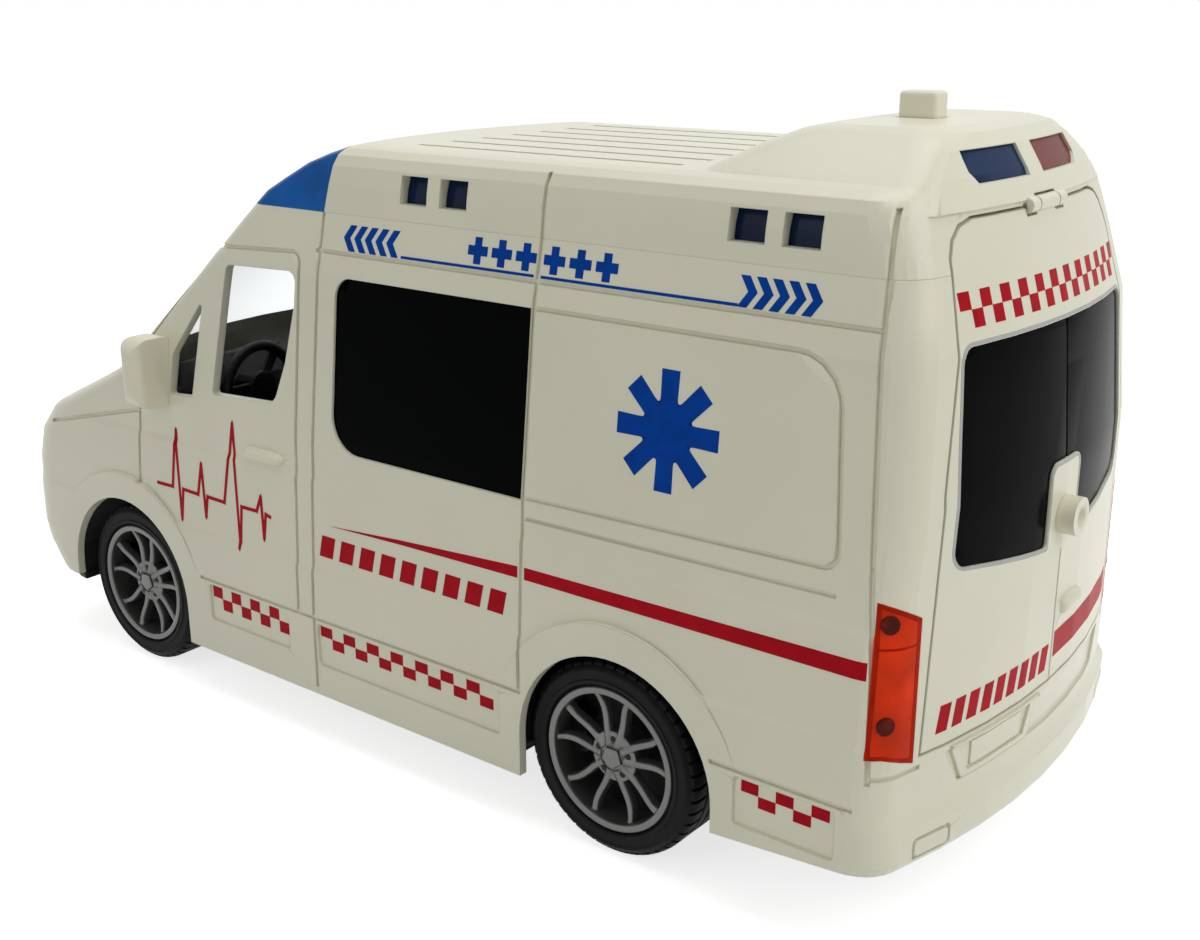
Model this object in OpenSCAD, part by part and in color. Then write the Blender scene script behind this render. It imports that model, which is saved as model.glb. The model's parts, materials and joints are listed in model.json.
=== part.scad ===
// Toy ambulance van with a friction drive, an opening tailgate and a roof push button.
// +X is the front, +Y is the left side, and the tyres stand on z = 0.

/* [Body] */
// Length from the rear bumper to the front bumper
body_len = 249.4; // [244:0.2:258]
// Width across the sills
body_w = 98.4; // [95:0.2:104]
// Height of the main roof above the ground
roof_h = 123.2; // [122:0.2:126]
// Height of the sill's lower edge
sill_h = 10.6; // [9.6:0.1:11.4]
// Wall of the moulded shells
wall = 1.8; // [1.6:0.1:2.1]
// Depth of the seam between body and roof below the main roof
seam_h = 12.6; // [11:0.1:14]
// Inward lean of each side from the sill to the roof seam
side_lean = 8.7; // [7:0.1:10]
// Forward sweep of the rear face at 40 mm from the centre
rear_bow = 5.4; // [4:0.1:7]
// Backward sweep of the bumper at 40 mm from the centre
nose_bow = 5; // [4:0.1:7]
// Radius of the rear corners in plan
rear_r = 7; // [5:0.5:8]
// Radius of the nose corners in plan
nose_r = 12; // [10:0.5:14]

/* [Panel lines] */
// Depth of the moulded panel grooves
groove_d = 0.5; // [0.3:0.1:0.8]
// Width of the moulded panel grooves
groove_w = 0.8; // [0.6:0.1:1.2]
// Height of the long groove above the sill panels
groove_h = 28; // [27:0.1:29]
// Distance of the front pillar line behind the front bumper
pillar_x = 111.3; // [109:0.1:113]
// Distance of the middle line behind the front pillar line
middle_x = 56.3; // [55:0.1:58]
// Height of the lower edge of the side windows
belt_h = 64.6; // [63.6:0.1:65.6]
// Depth of the upper edge of the side windows below the seam
head_h = 11.8; // [11:0.1:13]
// Depth of the groove under the printed band below the seam
band_h = 7.3; // [6.4:0.1:8.2]

/* [Wheels] */
// Outer diameter of a tyre
tyre_d = 38; // [36:0.2:39]
// Width of a tyre
tyre_w = 14; // [12:0.2:15]
// Outer diameter of a rim
rim_d = 28.4; // [26:0.2:30]
// Distance of the front axle behind the front bumper
front_overhang = 47.5; // [46:0.1:50]
// Distance of the rear axle ahead of the rear bumper
rear_overhang = 63; // [62:0.1:64]
// Depth of the tyre's outer face behind the side of the body
wheel_inset = 2.4; // [2.2:0.1:3.4]
// Gap between the tyre and the wheel arch
arch_gap = 2.4; // [2:0.1:2.8]
// Diameter of the steel axles
axle_d = 3; // [2.6:0.1:3.4]
// Radial clearance of turning shafts
run_gap = 0.06; // [0.03:0.01:0.1]
// Spoke pairs of a rim
spoke_pairs = 5; // [4:1:6]

/* [Tailgate] */
// Height of the tailgate's lower edge
gate_low = 35.6; // [35:0.1:36.6]
// Depth of the tailgate's upper edge below the main roof
gate_top = 5; // [4.6:0.1:5.8]
// Gap around the tailgate
gate_gap = 0.5; // [0.4:0.05:0.7]
// Diameter of the hinge pin
hinge_pin_d = 1; // [0.8:0.1:1.2]
// Diameter of the knob
knob_d = 6.8; // [6:0.1:7.6]
// Height of the knob's centre
knob_h = 66.5; // [65.5:0.1:68]
// Length of the knob behind the bumper
knob_out = 1.8; // [1.6:0.1:3]

/* [Roof button] */
// Length of the button
button_l = 7; // [6:0.1:8]
// Width of the button
button_w = 4.8; // [4:0.1:5.6]
// Height of the button above the hump
button_out = 4.4; // [3.4:0.1:5]
// Travel of the button
button_travel = 2; // [1.5:0.1:2.2]
// Clearance around the button in its hole
button_gap = 0.25; // [0.2:0.05:0.35]
// Height of the hump above the main roof
hump_out = 7.5; // [7:0.1:8]

/* [Drive] */
// Module of the gear teeth
gear_mod = 0.5; // [0.46:0.01:0.52]
// Teeth of the large gears
wheel_teeth = 24; // [22:2:24]
// Teeth of the pinions
pinion_teeth = 10; // [10:1:11]
// Diameter of the flywheel
flywheel_d = 14; // [12:0.5:14.5]
// Diameter of the gear shafts
shaft_d = 2; // [1.6:0.1:2.2]

/* [Hidden] */
$fn = 64;

ivory = [0.93, 0.92, 0.85];
cream = [0.92, 0.89, 0.74];
black = [0.05, 0.05, 0.055];
steel = [0.7, 0.71, 0.72];
lamp_red = [0.82, 0.2, 0.05];
lens_blue = [0.0, 0.3, 0.7];

// Ends of the body: the box with the knob is centred on x = 0.
tail_x = knob_out - (body_len + knob_out) / 2;
nose_x = tail_x + body_len;
sill_y = body_w / 2;

// Lines along the side, measured from the nose, and heights measured from the roof
pillar_at = nose_x - pillar_x;
middle_at = pillar_at - middle_x;
seam_z = roof_h - seam_h;
head_z = seam_z - head_h;
band_z = seam_z - band_h;
gate_z = roof_h - gate_top;

// Height at a share of the way from the long groove to the belt, and from the belt to the window heads
function low_z(share) = groove_h + share * (belt_h - groove_h);
function side_z(share) = belt_h + share * (head_z - belt_h);

// Axles and wheels
axle_z = tyre_d / 2;
axle_r = axle_d / 2;
rear_axle_x = tail_x + rear_overhang;
wheelbase = body_len - rear_overhang - front_overhang;
front_axle_x = rear_axle_x + wheelbase;
arch_r = tyre_d / 2 + arch_gap;
arch_lip = 6.2;
rear_arch_x = rear_axle_x - arch_gap - 0.2;
front_arch_x = front_axle_x + 0.6;
wheel_y = sill_y - wheel_inset;

// Heights of the creases along the side
crease_low = low_z(0.273);
crease_high = low_z(0.792);
bumper_h = groove_h - 5;
bumper_low = bumper_h - 4.8;
skirt_z = bumper_h - 6.4;
skirt_front = sill_h + 3.9;

// Section heights of the body form, from the sill to the roof
levels = [sill_h, skirt_z, bumper_low, bumper_h, bumper_h + 1.8, groove_h, crease_low, crease_low + 1.2,
  low_z(0.437), low_z(0.628), crease_high, crease_high + 1.2, low_z(0.9), belt_h, side_z(0.1), side_z(0.2),
  side_z(0.33), side_z(0.8), head_z, (head_z + seam_z) / 2, seam_z, (seam_z + roof_h - 7) / 2,
  roof_h - 7, roof_h - 3.7, roof_h - 1.7, roof_h - 0.5, roof_h];
bow_n = 8;
arc_n = 6;

// Half width of the body at height z
function half_at(z) = sill_y - side_lean * lookup(z, [[groove_h, 0], [crease_low, 0.035],
  [crease_low + 1.2, 0.085], [crease_high, 0.19], [crease_high + 1.2, 0.235], [belt_h, 0.265],
  [head_z, 0.70], [seam_z, 1], [roof_h - 7, 1.08], [roof_h - 3.7, 1.16], [roof_h - 1.7, 1.29],
  [roof_h - 0.5, 1.5], [roof_h, 1.75]]);

// Rear end of the centre line at height z: bumper ledge, upright gate, leaning top
function tail_at(z) = tail_x + lookup(z, [[skirt_z, 0.8], [bumper_low, 0], [bumper_h, 0],
  [bumper_h + 1.8, 1.2], [side_z(0.33), 1.2], [head_z, 3.2], [seam_z, 6.6], [gate_z, 9.1],
  [roof_h - 1.7, 10.6], [roof_h - 0.5, 11.8], [roof_h, 13.4]]);

// Front end of the centre line at height z: bumper, bonnet, windscreen and roof lens
function nose_at(z) = nose_x - lookup(z, [[sill_h, 9], [skirt_z, 7], [bumper_low, 5.6], [bumper_h, 2],
  [bumper_h + 1.8, 1.2], [groove_h, 0.2], [groove_h + 2, 0], [low_z(0.437), 0], [low_z(0.628), 2],
  [crease_high, 7], [crease_high + 1.2, 8.6], [low_z(0.9), 14], [belt_h, 21.5], [side_z(0.1), 28],
  [side_z(0.2), 34], [side_z(0.33), 39.4], [side_z(0.8), 59], [head_z, 67], [seam_z, 80.5],
  [(seam_z + roof_h - 7) / 2, 84], [roof_h - 7, 89.5], [roof_h - 3.7, 97],
  [roof_h - 1.7, 103], [roof_h - 0.5, 107], [roof_h, 109.4]]);

function front_bow_at(z) = nose_bow * lookup(z, [[low_z(0.628), 1], [crease_high, 1.2], [belt_h, 1.6],
  [side_z(0.2), 2], [roof_h - 7, 2], [roof_h, 1.6]]);
function front_r_at(z) = nose_r * lookup(z, [[low_z(0.628), 1], [crease_high, 0.92],
  [belt_h, 0.75], [side_z(0.2), 0.5], [side_z(0.45), 0.38], [roof_h, 0.33]]);

// Plan outline, counter-clockwise, with bowed ends and rounded corners
function plan_ring(hw, xr, xf, br, bf, rr, rf) =
  let (
    ar = atan(br * (hw - rr) / 800),
    yr = hw - rr + rr * sin(ar),
    cr = xr + br * pow(yr / 40, 2) + rr * cos(ar),
    af = atan(bf * (hw - rf) / 800),
    yf = hw - rf + rf * sin(af),
    cf = xf - bf * pow(yf / 40, 2) - rf * cos(af),
    sr = (90 - ar) / arc_n,
    sf = (90 - af) / arc_n
  )
  concat(
    [for (k = [0:bow_n]) let (y = yr * (1 - 2 * k / bow_n)) [xr + br * pow(y / 40, 2), y]],
    [for (k = [1:arc_n]) let (t = 180 + ar + sr * k) [cr + rr * cos(t), rr - hw + rr * sin(t)]],
    [for (k = [0:arc_n - 1]) let (t = 270 + sf * k) [cf + rf * cos(t), rf - hw + rf * sin(t)]],
    [for (k = [0:bow_n]) let (y = yf * (2 * k / bow_n - 1)) [xf - bf * pow(y / 40, 2), y]],
    [for (k = [1:arc_n]) let (t = af + sf * k) [cf + rf * cos(t), hw - rf + rf * sin(t)]],
    [for (k = [0:arc_n - 1]) let (t = 90 + sr * k) [cr + rr * cos(t), hw - rr + rr * sin(t)]]
  );

// Outline of the body at height z, moved in by i
function body_ring(z, i) = plan_ring(
  min(half_at(z), half_at(z + 0.7 * i)) - i,
  max(tail_at(z), tail_at(z + 0.7 * i)) + i,
  min(nose_at(z), nose_at(z + 0.7 * i)) - i,
  rear_bow, front_bow_at(z), max(1.5, rear_r - i), max(1.5, front_r_at(z) - i));

// Hump: half width, distance ahead of the rear bumper and front station at height z
hump_h = roof_h + hump_out;
hump_shoulder = hump_h - 3.1;
hump_levels = [roof_h - 4, roof_h + 0.6, hump_shoulder, hump_h - 0.9, hump_h];
function hump_ring(z, i) =
  let (zz = z + 0.5 * i)
  plan_ring(
    sill_y - lookup(zz, [[roof_h - 4, 13.8], [roof_h + 0.6, 16.8], [hump_shoulder, 22.2],
      [hump_h - 0.9, 25.6], [hump_h, 28.6]]) - i,
    tail_x + lookup(zz, [[roof_h - 4, 9], [roof_h + 0.6, 11.4], [hump_shoulder, 13.8],
      [hump_h - 0.9, 15.8], [hump_h, 18.6]]) + i,
    tail_x + lookup(zz, [[roof_h - 4, 63], [roof_h + 0.6, 56.2], [hump_shoulder, 49],
      [hump_h - 0.9, 43.8], [hump_h, 39.6]]) - i,
    rear_bow, 2, max(1.5, 5 - i), max(1.5, 6 - i));

// Solid through a stack of outlines that have equal numbers of points
module loft(rings, zs) {
  n = len(rings[0]);
  m = len(zs);
  polyhedron(
    points = [for (j = [0:m - 1]) for (p = rings[j]) [p.x, p.y, zs[j]]],
    faces = concat(
      [[for (k = [0:n - 1]) k]],
      [[for (k = [0:n - 1]) m * n - 1 - k]],
      [for (j = [0:m - 2]) for (k = [0:n - 1]) [j * n + k, j * n + n + k, j * n + n + (k + 1) % n]],
      [for (j = [0:m - 2]) for (k = [0:n - 1])
        [j * n + k, j * n + n + (k + 1) % n, j * n + (k + 1) % n]]
    ),
    convexity = 8
  );
}

// Outer form of body and roof, moved in by i, through the sections from lo to hi.
// An inset form runs out below the sill.
module body_form(i = 0, lo = 0, hi = 2 * roof_h) {
  zs = concat(
    i > 0 && lo < sill_h ? [sill_h - 6] : [],
    [for (z = levels) if (z >= lo && z <= hi && z < roof_h - i - 0.3) z],
    hi > roof_h - i ? [roof_h - i] : []);
  loft([for (z = zs) body_ring(z, i)], zs);
}

module hump_form(i = 0) {
  zs = concat(
    [roof_h - 4 - (i > 0 ? 2 : 0)],
    [for (z = hump_levels) if (z > roof_h - 4 && z < hump_h - i - 0.2) z],
    [hump_h - i]);
  loft([for (z = zs) hump_ring(z, i)], zs);
}

// Extrude an x, z outline along Y, or a y, z outline along X
module along_y(y0, y1) {
  translate([0, y1, 0])
    rotate([90, 0, 0])
      linear_extrude(y1 - y0)
        children();
}

module along_x(x0, x1) {
  translate([x0, 0, 0])
    rotate([90, 0, 90])
      linear_extrude(x1 - x0)
        children();
}

module both_sides() {
  children();
  mirror([0, 1, 0])
    children();
}

// Cylinder along Y from y0 to y1
module rod_y(x, z, r, y0, y1) {
  translate([x, y1, z])
    rotate([90, 0, 0])
      cylinder(r = r, h = y1 - y0);
}

// Straight groove of width w between two points
module line2d(p, q, w = groove_w) {
  translate(p)
    rotate(atan2(q.y - p.y, q.x - p.x))
      translate([-w / 2, -w / 2])
        square([norm(q - p) + w, w]);
}

// Chain of grooves through a list of points
module path2d(points, w = groove_w) {
  for (k = [0:len(points) - 2])
    line2d(points[k], points[k + 1], w);
}

// Arc of radius r that rounds the corner b between its neighbours a and c
function corner_arc(a, b, c, r, steps = 5) =
  let (u = (a - b) / norm(a - b), v = (c - b) / norm(c - b), half = acos(u * v) / 2,
    centre = b + (u + v) / norm(u + v) * r / sin(half),
    from = b + u * r / tan(half) - centre, to = b + v * r / tan(half) - centre)
  [for (k = [0:steps]) let (d = from + (to - from) * k / steps) centre + d * r / norm(d)];

// Outline whose corners are given as x, y and their radius, where 0 stays sharp
function rounded(p) =
  let (n = len(p), flat = [for (q = p) [q.x, q.y]])
  [for (k = [0:n - 1])
    each p[k].z > 0 ? corner_arc(flat[(k + n - 1) % n], flat[k], flat[(k + 1) % n], p[k].z) : [flat[k]]];

// Rectangle from corner a to corner b with corner radius r
module rrect(a, b, r) {
  translate([a.x + r, a.y])
    square([b.x - a.x - 2 * r, b.y - a.y]);
  translate([a.x, a.y + r])
    square([b.x - a.x, b.y - a.y - 2 * r]);
  for (x = [a.x + r, b.x - r], y = [a.y + r, b.y - r])
    translate([x, y])
      circle(r);
}

// Half space below or above a height
module below(z) {
  translate([-200, -100, z - 300])
    cube([400, 200, 300]);
}

module above(z) {
  translate([-200, -100, z])
    cube([400, 200, 300]);
}

// Outline of the rear line that leans with the corner pillar
pillar_rear = [[tail_x + 10.8, gate_low - 2.6], [tail_x + 11.3, low_z(0.6)], [tail_x + 13.8, side_z(0.6)],
  [tail_x + 16.3, roof_h - 3]];

// Side window: square behind, rounded in front
window_front = pillar_at - 5.8;
module side_window_2d() {
  difference() {
    translate([middle_at + 0.5, belt_h])
      square([window_front - middle_at - 0.5, head_z - belt_h]);
    translate([window_front, belt_h])
      corner_cut(7.5, -1, 1);
    translate([window_front, head_z])
      corner_cut(4, -1, -1);
  }
}

// Waste of a rounded corner of radius r towards sx, sy
module corner_cut(r, sx, sy) {
  difference() {
    translate([sx > 0 ? -1 : -r, sy > 0 ? -1 : -r])
      square(r + 1);
    translate([sx * r, sy * r])
      circle(r);
  }
}

// Cab door window and quarter window
module cab_window_2d() {
  polygon(rounded([[pillar_at + 31.6, side_z(0.16), 0.8], [pillar_at + 11.6, side_z(0.19), 3.6],
    [pillar_at + 8.4, side_z(0.45), 0], [pillar_at + 6, side_z(0.8), 0], [pillar_at + 5.8, head_z - 0.2, 2.2],
    [pillar_at + 27.4, head_z - 1, 1.6]]));
}

module quarter_window_2d() {
  polygon(rounded([[pillar_at + 35, side_z(0.74), 0.5], [pillar_at + 45.2, side_z(0.36), 1.4],
    [pillar_at + 46.4, side_z(0.09), 0.6], [pillar_at + 38.4, side_z(0.11), 0.6]]));
}

// Tailgate outline with its edges moved in by g
module gate_2d(g) {
  y0 = half_at(gate_low) - 10 - g;
  mid_z = side_z(0.4);
  top_z = seam_z - 1.6;
  y1 = half_at(mid_z) - 8.6 - g;
  y2 = half_at(top_z) - 9.4 - g;
  z1 = gate_z - g;
  half = [[y0, gate_low + g], [y1, mid_z], [y2, top_z], [y2 - 0.6, z1 - 5.4], [y2 - 2, z1 - 2.8],
    [y2 - 4.4, z1 - 0.9], [y2 - 8, z1]];
  n = len(half);
  polygon(concat(half, [for (k = [1:n]) [-half[n - k].x, half[n - k].y]]));
}

module gate_prism(g) {
  along_x(tail_x - 10, tail_x + 26)
    gate_2d(g);
}

// Tailgate window outline: a tab for the knob rises into its lower edge
tab_y = 6.2;
module gate_window_2d(g = 0) {
  yt = half_at(head_z) - 11.2 - g;
  yb = half_at(belt_h) - 12.8 - g;
  top_z = head_z + 1.2 - g;
  low = belt_h - 2.6 + g;
  tab_z = knob_h + 9.9;
  half = [[yt, top_z, 2.6], [yb, low + 4, 3.2], [tab_y + 8, low + 1, 0], [tab_y + g, low, 0.8],
    [tab_y + g, tab_z + g, 2.4]];
  n = len(half);
  polygon(rounded(concat(half, [for (k = [1:n]) [-half[n - k].x, half[n - k].y, half[n - k].z]])));
}

// Hinge of the tailgate, just inside the skin at its upper edge
hinge_x = tail_at(gate_z) + 0.3;
hinge_z = gate_z + 0.1;
hinge_r = 1.3;
hinge_half = 7;
hinge_knuckle = 3.7;

// Tail lamp block around a rear corner
lamp_low = low_z(0.246);
lamp_top = belt_h - 1.6;
lamp_front = tail_x + 11.4;
lamp_inner = sill_y - 8.8;
module lamp_block() {
  along_x(tail_x - 10, lamp_front)
    polygon([[lamp_inner, lamp_low - 2.2], [sill_y - 2.6, lamp_low], [sill_y + 9, lamp_low],
      [sill_y + 9, lamp_top], [sill_y - 2.6, lamp_top], [lamp_inner, lamp_top - 3.4]]);
}

// Headlamp and grille outlines, seen from the front
grille_low = low_z(0.328);
grille_top = low_z(0.683);
module headlamp_2d(g = 0) {
  polygon([[24 + g, low_z(0.48) + g], [sill_y - 6.4 - g, low_z(0.53) + g], [sill_y - 5 - g, low_z(0.743) - g],
    [26 + g, low_z(0.7) - g]]);
}

module grille_2d(g = 0) {
  polygon([[-20 + g, grille_low + g], [20 - g, grille_low + g], [22 - g, grille_top - g],
    [-22 + g, grille_top - g]]);
}

// Windscreen outline, seen from the front
module windscreen_2d(g = 0) {
  z0 = side_z(0.304);
  z1 = seam_z - 3.6;
  y0 = half_at(z0) - 5.5 - g;
  y1 = half_at(z1) - 6 - g;
  polygon([[-y0, z0 + g], [y0, z0 + g], [y1, z1 - g], [-y1, z1 - g]]);
}

// Front roof lens: everything ahead of a leaning line, from the height z up
module lens_2d(z = seam_z) {
  lens_x = pillar_at - 0.7;
  polygon([[lens_x - 0.2 * (z - seam_z), z], [nose_x, z], [nose_x, roof_h + 10],
    [lens_x - 0.2 * (roof_h + 10 - seam_z), roof_h + 10]]);
}

// The roof's front edge is round in plan, so the lens stays outside a large cylinder
lens_round = 76;
module lens_block(z = seam_z) {
  difference() {
    along_y(-80, 80)
      lens_2d(z);
    translate([pillar_at + 5.6 - lens_round, 0, z - 5])
      cylinder(r = lens_round, h = 60, $fn = 180);
  }
}

// Square roof windows
module roof_windows_2d() {
  for (x = [pillar_at - 28.2, pillar_at - 38.2, tail_x + 27.3, tail_x + 37.2])
    translate([x, seam_z + 3.1])
      square([6.8, 5.2]);
}

// Rear hump lens outline on side s
module rear_lens_2d(s, g = 0) {
  z0 = roof_h - 0.5;
  z1 = hump_shoulder;
  y1 = sill_y - 28.6;
  polygon([[s * (2.7 + g), z0 + g], [s * (y1 - 1.6 - g), z0 + g], [s * (y1 - g), z0 + 1.8],
    [s * (y1 - 0.3 - g), z1 - g], [s * (2.7 + g), z1 - g]]);
}

// Panel lines along the side
module side_lines_2d() {
  line2d([pillar_at, sill_h + 2], [pillar_at - 0.8, seam_z + 0.5]);
  line2d([middle_at, groove_h], [middle_at, roof_h - 2]);
  path2d(pillar_rear);
  line2d([pillar_at, band_z], [tail_x + 15, band_z]);
  line2d([front_arch_x - arch_r - 6, groove_h], [pillar_at, groove_h]);
  line2d([pillar_at, groove_h], [rear_arch_x + arch_r, groove_h]);
  line2d([rear_arch_x - arch_r, groove_h], [tail_x + 13, groove_h]);
  // cab door
  path2d(rounded([[pillar_at + 4.6, groove_h, 0], [pillar_at + 4.8, head_z + 3.7, 2.6],
    [pillar_at + 31.2, head_z + 2.5, 4], [pillar_at + 54, side_z(0.406), 0], [pillar_at + 57, belt_h + 1.4, 0],
    [pillar_at + 58.2, low_z(0.492), 0]]));
  // bonnet edge
  line2d([nose_x - 19, low_z(0.716)], [pillar_at + 58, belt_h - 2.2]);
  // rear side panel with a double lower edge
  path2d([[middle_at, belt_h - 3.2], [tail_x + 18.6, belt_h - 2.2]]);
  path2d(rounded([[middle_at, belt_h + 0.6, 0], [tail_x + 18.2, belt_h + 1.9, 2.6],
    [tail_x + 21, head_z, 8.5], [middle_at, head_z, 0]]));
}

// Sunk panels below the long groove
module sunk_panels_2d() {
  rrect([pillar_at + 8, groove_h - 9.4], [pillar_at + 34.4, groove_h - 1], 0.8);
  rrect([rear_arch_x + arch_r + 5, groove_h - 10.4], [pillar_at - 1, groove_h - 1], 0.8);
  rrect([tail_x + 15.4, groove_h - 10], [rear_arch_x - arch_r - 4.4, groove_h - 1], 0.8);
}

// Lines on the rear bumper: corner seams and reflector outlines
module rear_lines() {
  both_sides()
    translate([tail_x - 5, sill_y - 10.4, gate_low - 2.4])
      cube([15.8, 30, groove_w]);
  both_sides()
    along_x(tail_x - 5, tail_x + 14)
      difference() {
        rrect([sill_y - 17.4, bumper_low - 0.6], [sill_y - 8.4, bumper_h - 1.4], 1);
        rrect([sill_y - 16.8, bumper_low], [sill_y - 9, bumper_h - 2], 0.7);
      }
}

// Lower outline of the skirts behind the rear wheels and of the nose
module under_cut_2d() {
  polygon([[tail_x - 10, 0], [tail_x - 10, skirt_z + 0.4], [tail_x + 12, skirt_z],
    [rear_arch_x - arch_r, skirt_front], [rear_arch_x, skirt_front], [rear_arch_x, 0]]);
  polygon([[front_arch_x, 0], [front_arch_x, skirt_z - 0.2], [nose_x - 16, skirt_z + 0.4], [nose_x + 10, skirt_z + 3.4], [nose_x + 10, 0]]);
}

module arch_2d(r) {
  for (x = [rear_arch_x, front_arch_x]) {
    translate([x, axle_z])
      circle(r);
    translate([x - r, 0])
      square([2 * r, axle_z]);
  }
}

// Bosses that take the body screws
plate_z = 14.8;
plate_t = 2;
plate_top = plate_z + plate_t;
rear_plate_z = 17;
screw_r = 1;
screw_front_x = front_arch_x - arch_r - 13;
screw_rear_x = tail_x + 23;
screw_y = sill_y - 13.2;
head_r = 2;
head_t = 1.4;
boss_top = plate_top + 13.6;
module screw_boss(x, z0) {
  translate([x, screw_y, z0])
    cylinder(r = 3.2, h = boss_top - z0);
  translate([x - 1, screw_y + 2, z0 + 1])
    cube([2, sill_y - wall / 2 - screw_y - 2, boss_top - 1 - z0]);
}

module body_shell() {
  color(ivory)
    difference() {
      union() {
        intersection() {
          difference() {
            union() {
              body_form(0, 0, seam_z + 5);
              both_sides()
                along_y(sill_y - 6, sill_y)
                  intersection() {
                    arch_2d(arch_r + arch_lip);
                    translate([tail_x, groove_h - 6])
                      square([body_len, 40]);
                  }
              // door handles
              intersection() {
                both_sides()
                  along_y(sill_y - 5, sill_y + 5)
                    rrect([pillar_at + 8.6, belt_h - 6], [pillar_at + 20.6, belt_h - 4], 0.9);
                body_form(-0.6, low_z(0.6), side_z(0.15));
              }
            }
            body_form(wall, 0, seam_z + 5);
          }
          below(seam_z);
        }
        both_sides() {
          screw_boss(screw_front_x, plate_top);
          screw_boss(screw_rear_x, rear_plate_z + plate_t);
        }
      }
      along_y(-80, 80)
        arch_2d(arch_r);
      along_y(-80, 80)
        under_cut_2d();
      along_y(-80, 80) {
        side_window_2d();
        cab_window_2d();
        quarter_window_2d();
      }
      along_x(pillar_at + 16, nose_x)
        windscreen_2d();
      along_x(nose_x - 32, nose_x + 5) {
        grille_2d();
        headlamp_2d();
        mirror([1, 0])
          headlamp_2d();
      }
      gate_prism(-gate_gap / 2);
      both_sides()
        lamp_block();
      difference() {
        union() {
          along_y(-80, 80) {
            side_lines_2d();
            sunk_panels_2d();
          }
          rear_lines();
          along_x(tail_x - 5, tail_x + 12)
            polygon([[-29, groove_h - 0.4], [29, groove_h - 0.4], [33, gate_low - 1.4], [-33, gate_low - 1.4]]);
        }
        body_form(groove_d, 0, seam_z + 5);
      }
      both_sides() {
        translate([screw_front_x, screw_y, 0])
          cylinder(r = screw_r, h = boss_top - 2.4);
        translate([screw_rear_x, screw_y, 0])
          cylinder(r = screw_r, h = boss_top - 2.4);
      }
    }
}

// Button and board stations under the hump
button_x = tail_x + 31.7;
hump_in = hump_h - wall;
board_z = roof_h - 6.2;
board_t = 1.2;
board_top = board_z + board_t;
post_rear_x = tail_x + 23;
post_front_x = tail_x + 43;
flange_t = 1.7;
dome_h = 4.1;

module roof_shell() {
  color(ivory)
    difference() {
      union() {
        difference() {
          union() {
            intersection() {
              body_form(0, seam_z - 8);
              above(seam_z);
            }
            hump_form();
          }
          body_form(wall, seam_z - 8);
          hump_form(wall);
          gate_prism(-gate_gap / 2);
        }
        // board posts
        both_sides() {
          translate([post_rear_x, 12, board_top])
            cylinder(r = 2, h = hump_h - 1 - board_top);
          translate([post_front_x, 12, board_top])
            cylinder(r = 2, h = hump_h - 2.5 - board_top);
        }
        // hinge lugs
        both_sides()
          rod_y(hinge_x, hinge_z, hinge_r, hinge_knuckle + 0.3, hinge_half);
      }
      lens_block(seam_z - 2);
      along_y(-80, 80)
        roof_windows_2d();
      along_x(tail_x, tail_x + 20) {
        rear_lens_2d(1);
        rear_lens_2d(-1);
      }
      // ribs along the roof
      for (y = [-27:9:27])
        translate([tail_x + 62, y - 0.8, roof_h - groove_d])
          cube([pillar_at - 14 - tail_x - 62, 1.6, 5]);
      difference() {
        along_y(-80, 80) {
          line2d([middle_at, seam_z - 2], [middle_at, roof_h - 2]);
          path2d(pillar_rear);
        }
        body_form(groove_d, seam_z - 8);
      }
      translate([button_x - button_l / 2 - button_gap, -button_w / 2 - button_gap, hump_in - 4])
        cube([button_l + 2 * button_gap, button_w + 2 * button_gap, 20]);
      // room for the gate's knuckle, and the pin's bore
      rod_y(hinge_x, hinge_z, hinge_r + 0.4, -hinge_knuckle - 0.3, hinge_knuckle + 0.3);
      rod_y(hinge_x, hinge_z, hinge_pin_d / 2, -hinge_half - 1, hinge_half + 1);
    }
}

module tailgate() {
  color(ivory)
    difference() {
      union() {
        difference() {
          intersection() {
            body_form(0, groove_h);
            gate_prism(gate_gap / 2);
          }
          body_form(wall, groove_h);
          both_sides()
            rod_y(hinge_x, hinge_z, hinge_r + 0.4, hinge_knuckle, hinge_half + 0.4);
        }
        rod_y(hinge_x, hinge_z, hinge_r, -hinge_knuckle, hinge_knuckle);
        // raised bar beside the joint line
        difference() {
          intersection() {
            body_form(-0.6, low_z(0.4), low_z(0.95));
            along_x(tail_x - 5, tail_x + 5)
              rrect([-11, low_z(0.52)], [-3, low_z(0.52) + 3], 1.2);
          }
          body_form(0.6, low_z(0.4), low_z(0.95));
        }
      }
      along_x(tail_x - 10, tail_x + 26)
        gate_window_2d();
      rod_y(hinge_x, hinge_z, hinge_pin_d / 2 + run_gap, -hinge_knuckle - 1, hinge_knuckle + 1);
      // narrow joint line below the knob
      difference() {
        along_x(tail_x - 5, tail_x + 10)
          line2d([0, gate_low], [0, belt_h - 4.6], 0.5);
        body_form(0.3, groove_h, side_z(0.15));
      }
    }
}

module tailgate_window() {
  color(black)
    difference() {
      intersection() {
        body_form(0.4, low_z(0.85), seam_z - 4.6);
        along_x(tail_x - 10, tail_x + 26)
          gate_window_2d();
      }
      body_form(wall, low_z(0.85), seam_z - 4.6);
      difference() {
        along_x(tail_x - 10, tail_x + 26)
          line2d([0, knob_h + 3], [0, seam_z], 0.6);
        body_form(0.8, low_z(0.85), seam_z - 4.6);
      }
    }
}

module tailgate_knob() {
  color(cream)
    difference() {
      translate([tail_x - knob_out, 0, knob_h])
        rotate([0, 90, 0])
          difference() {
            cylinder(d = knob_d, h = knob_out + 4);
            translate([0, 0, -1])
              cylinder(d = knob_d * 0.45, h = 2.4);
          }
      body_form(0, groove_h, seam_z);
    }
}

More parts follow.
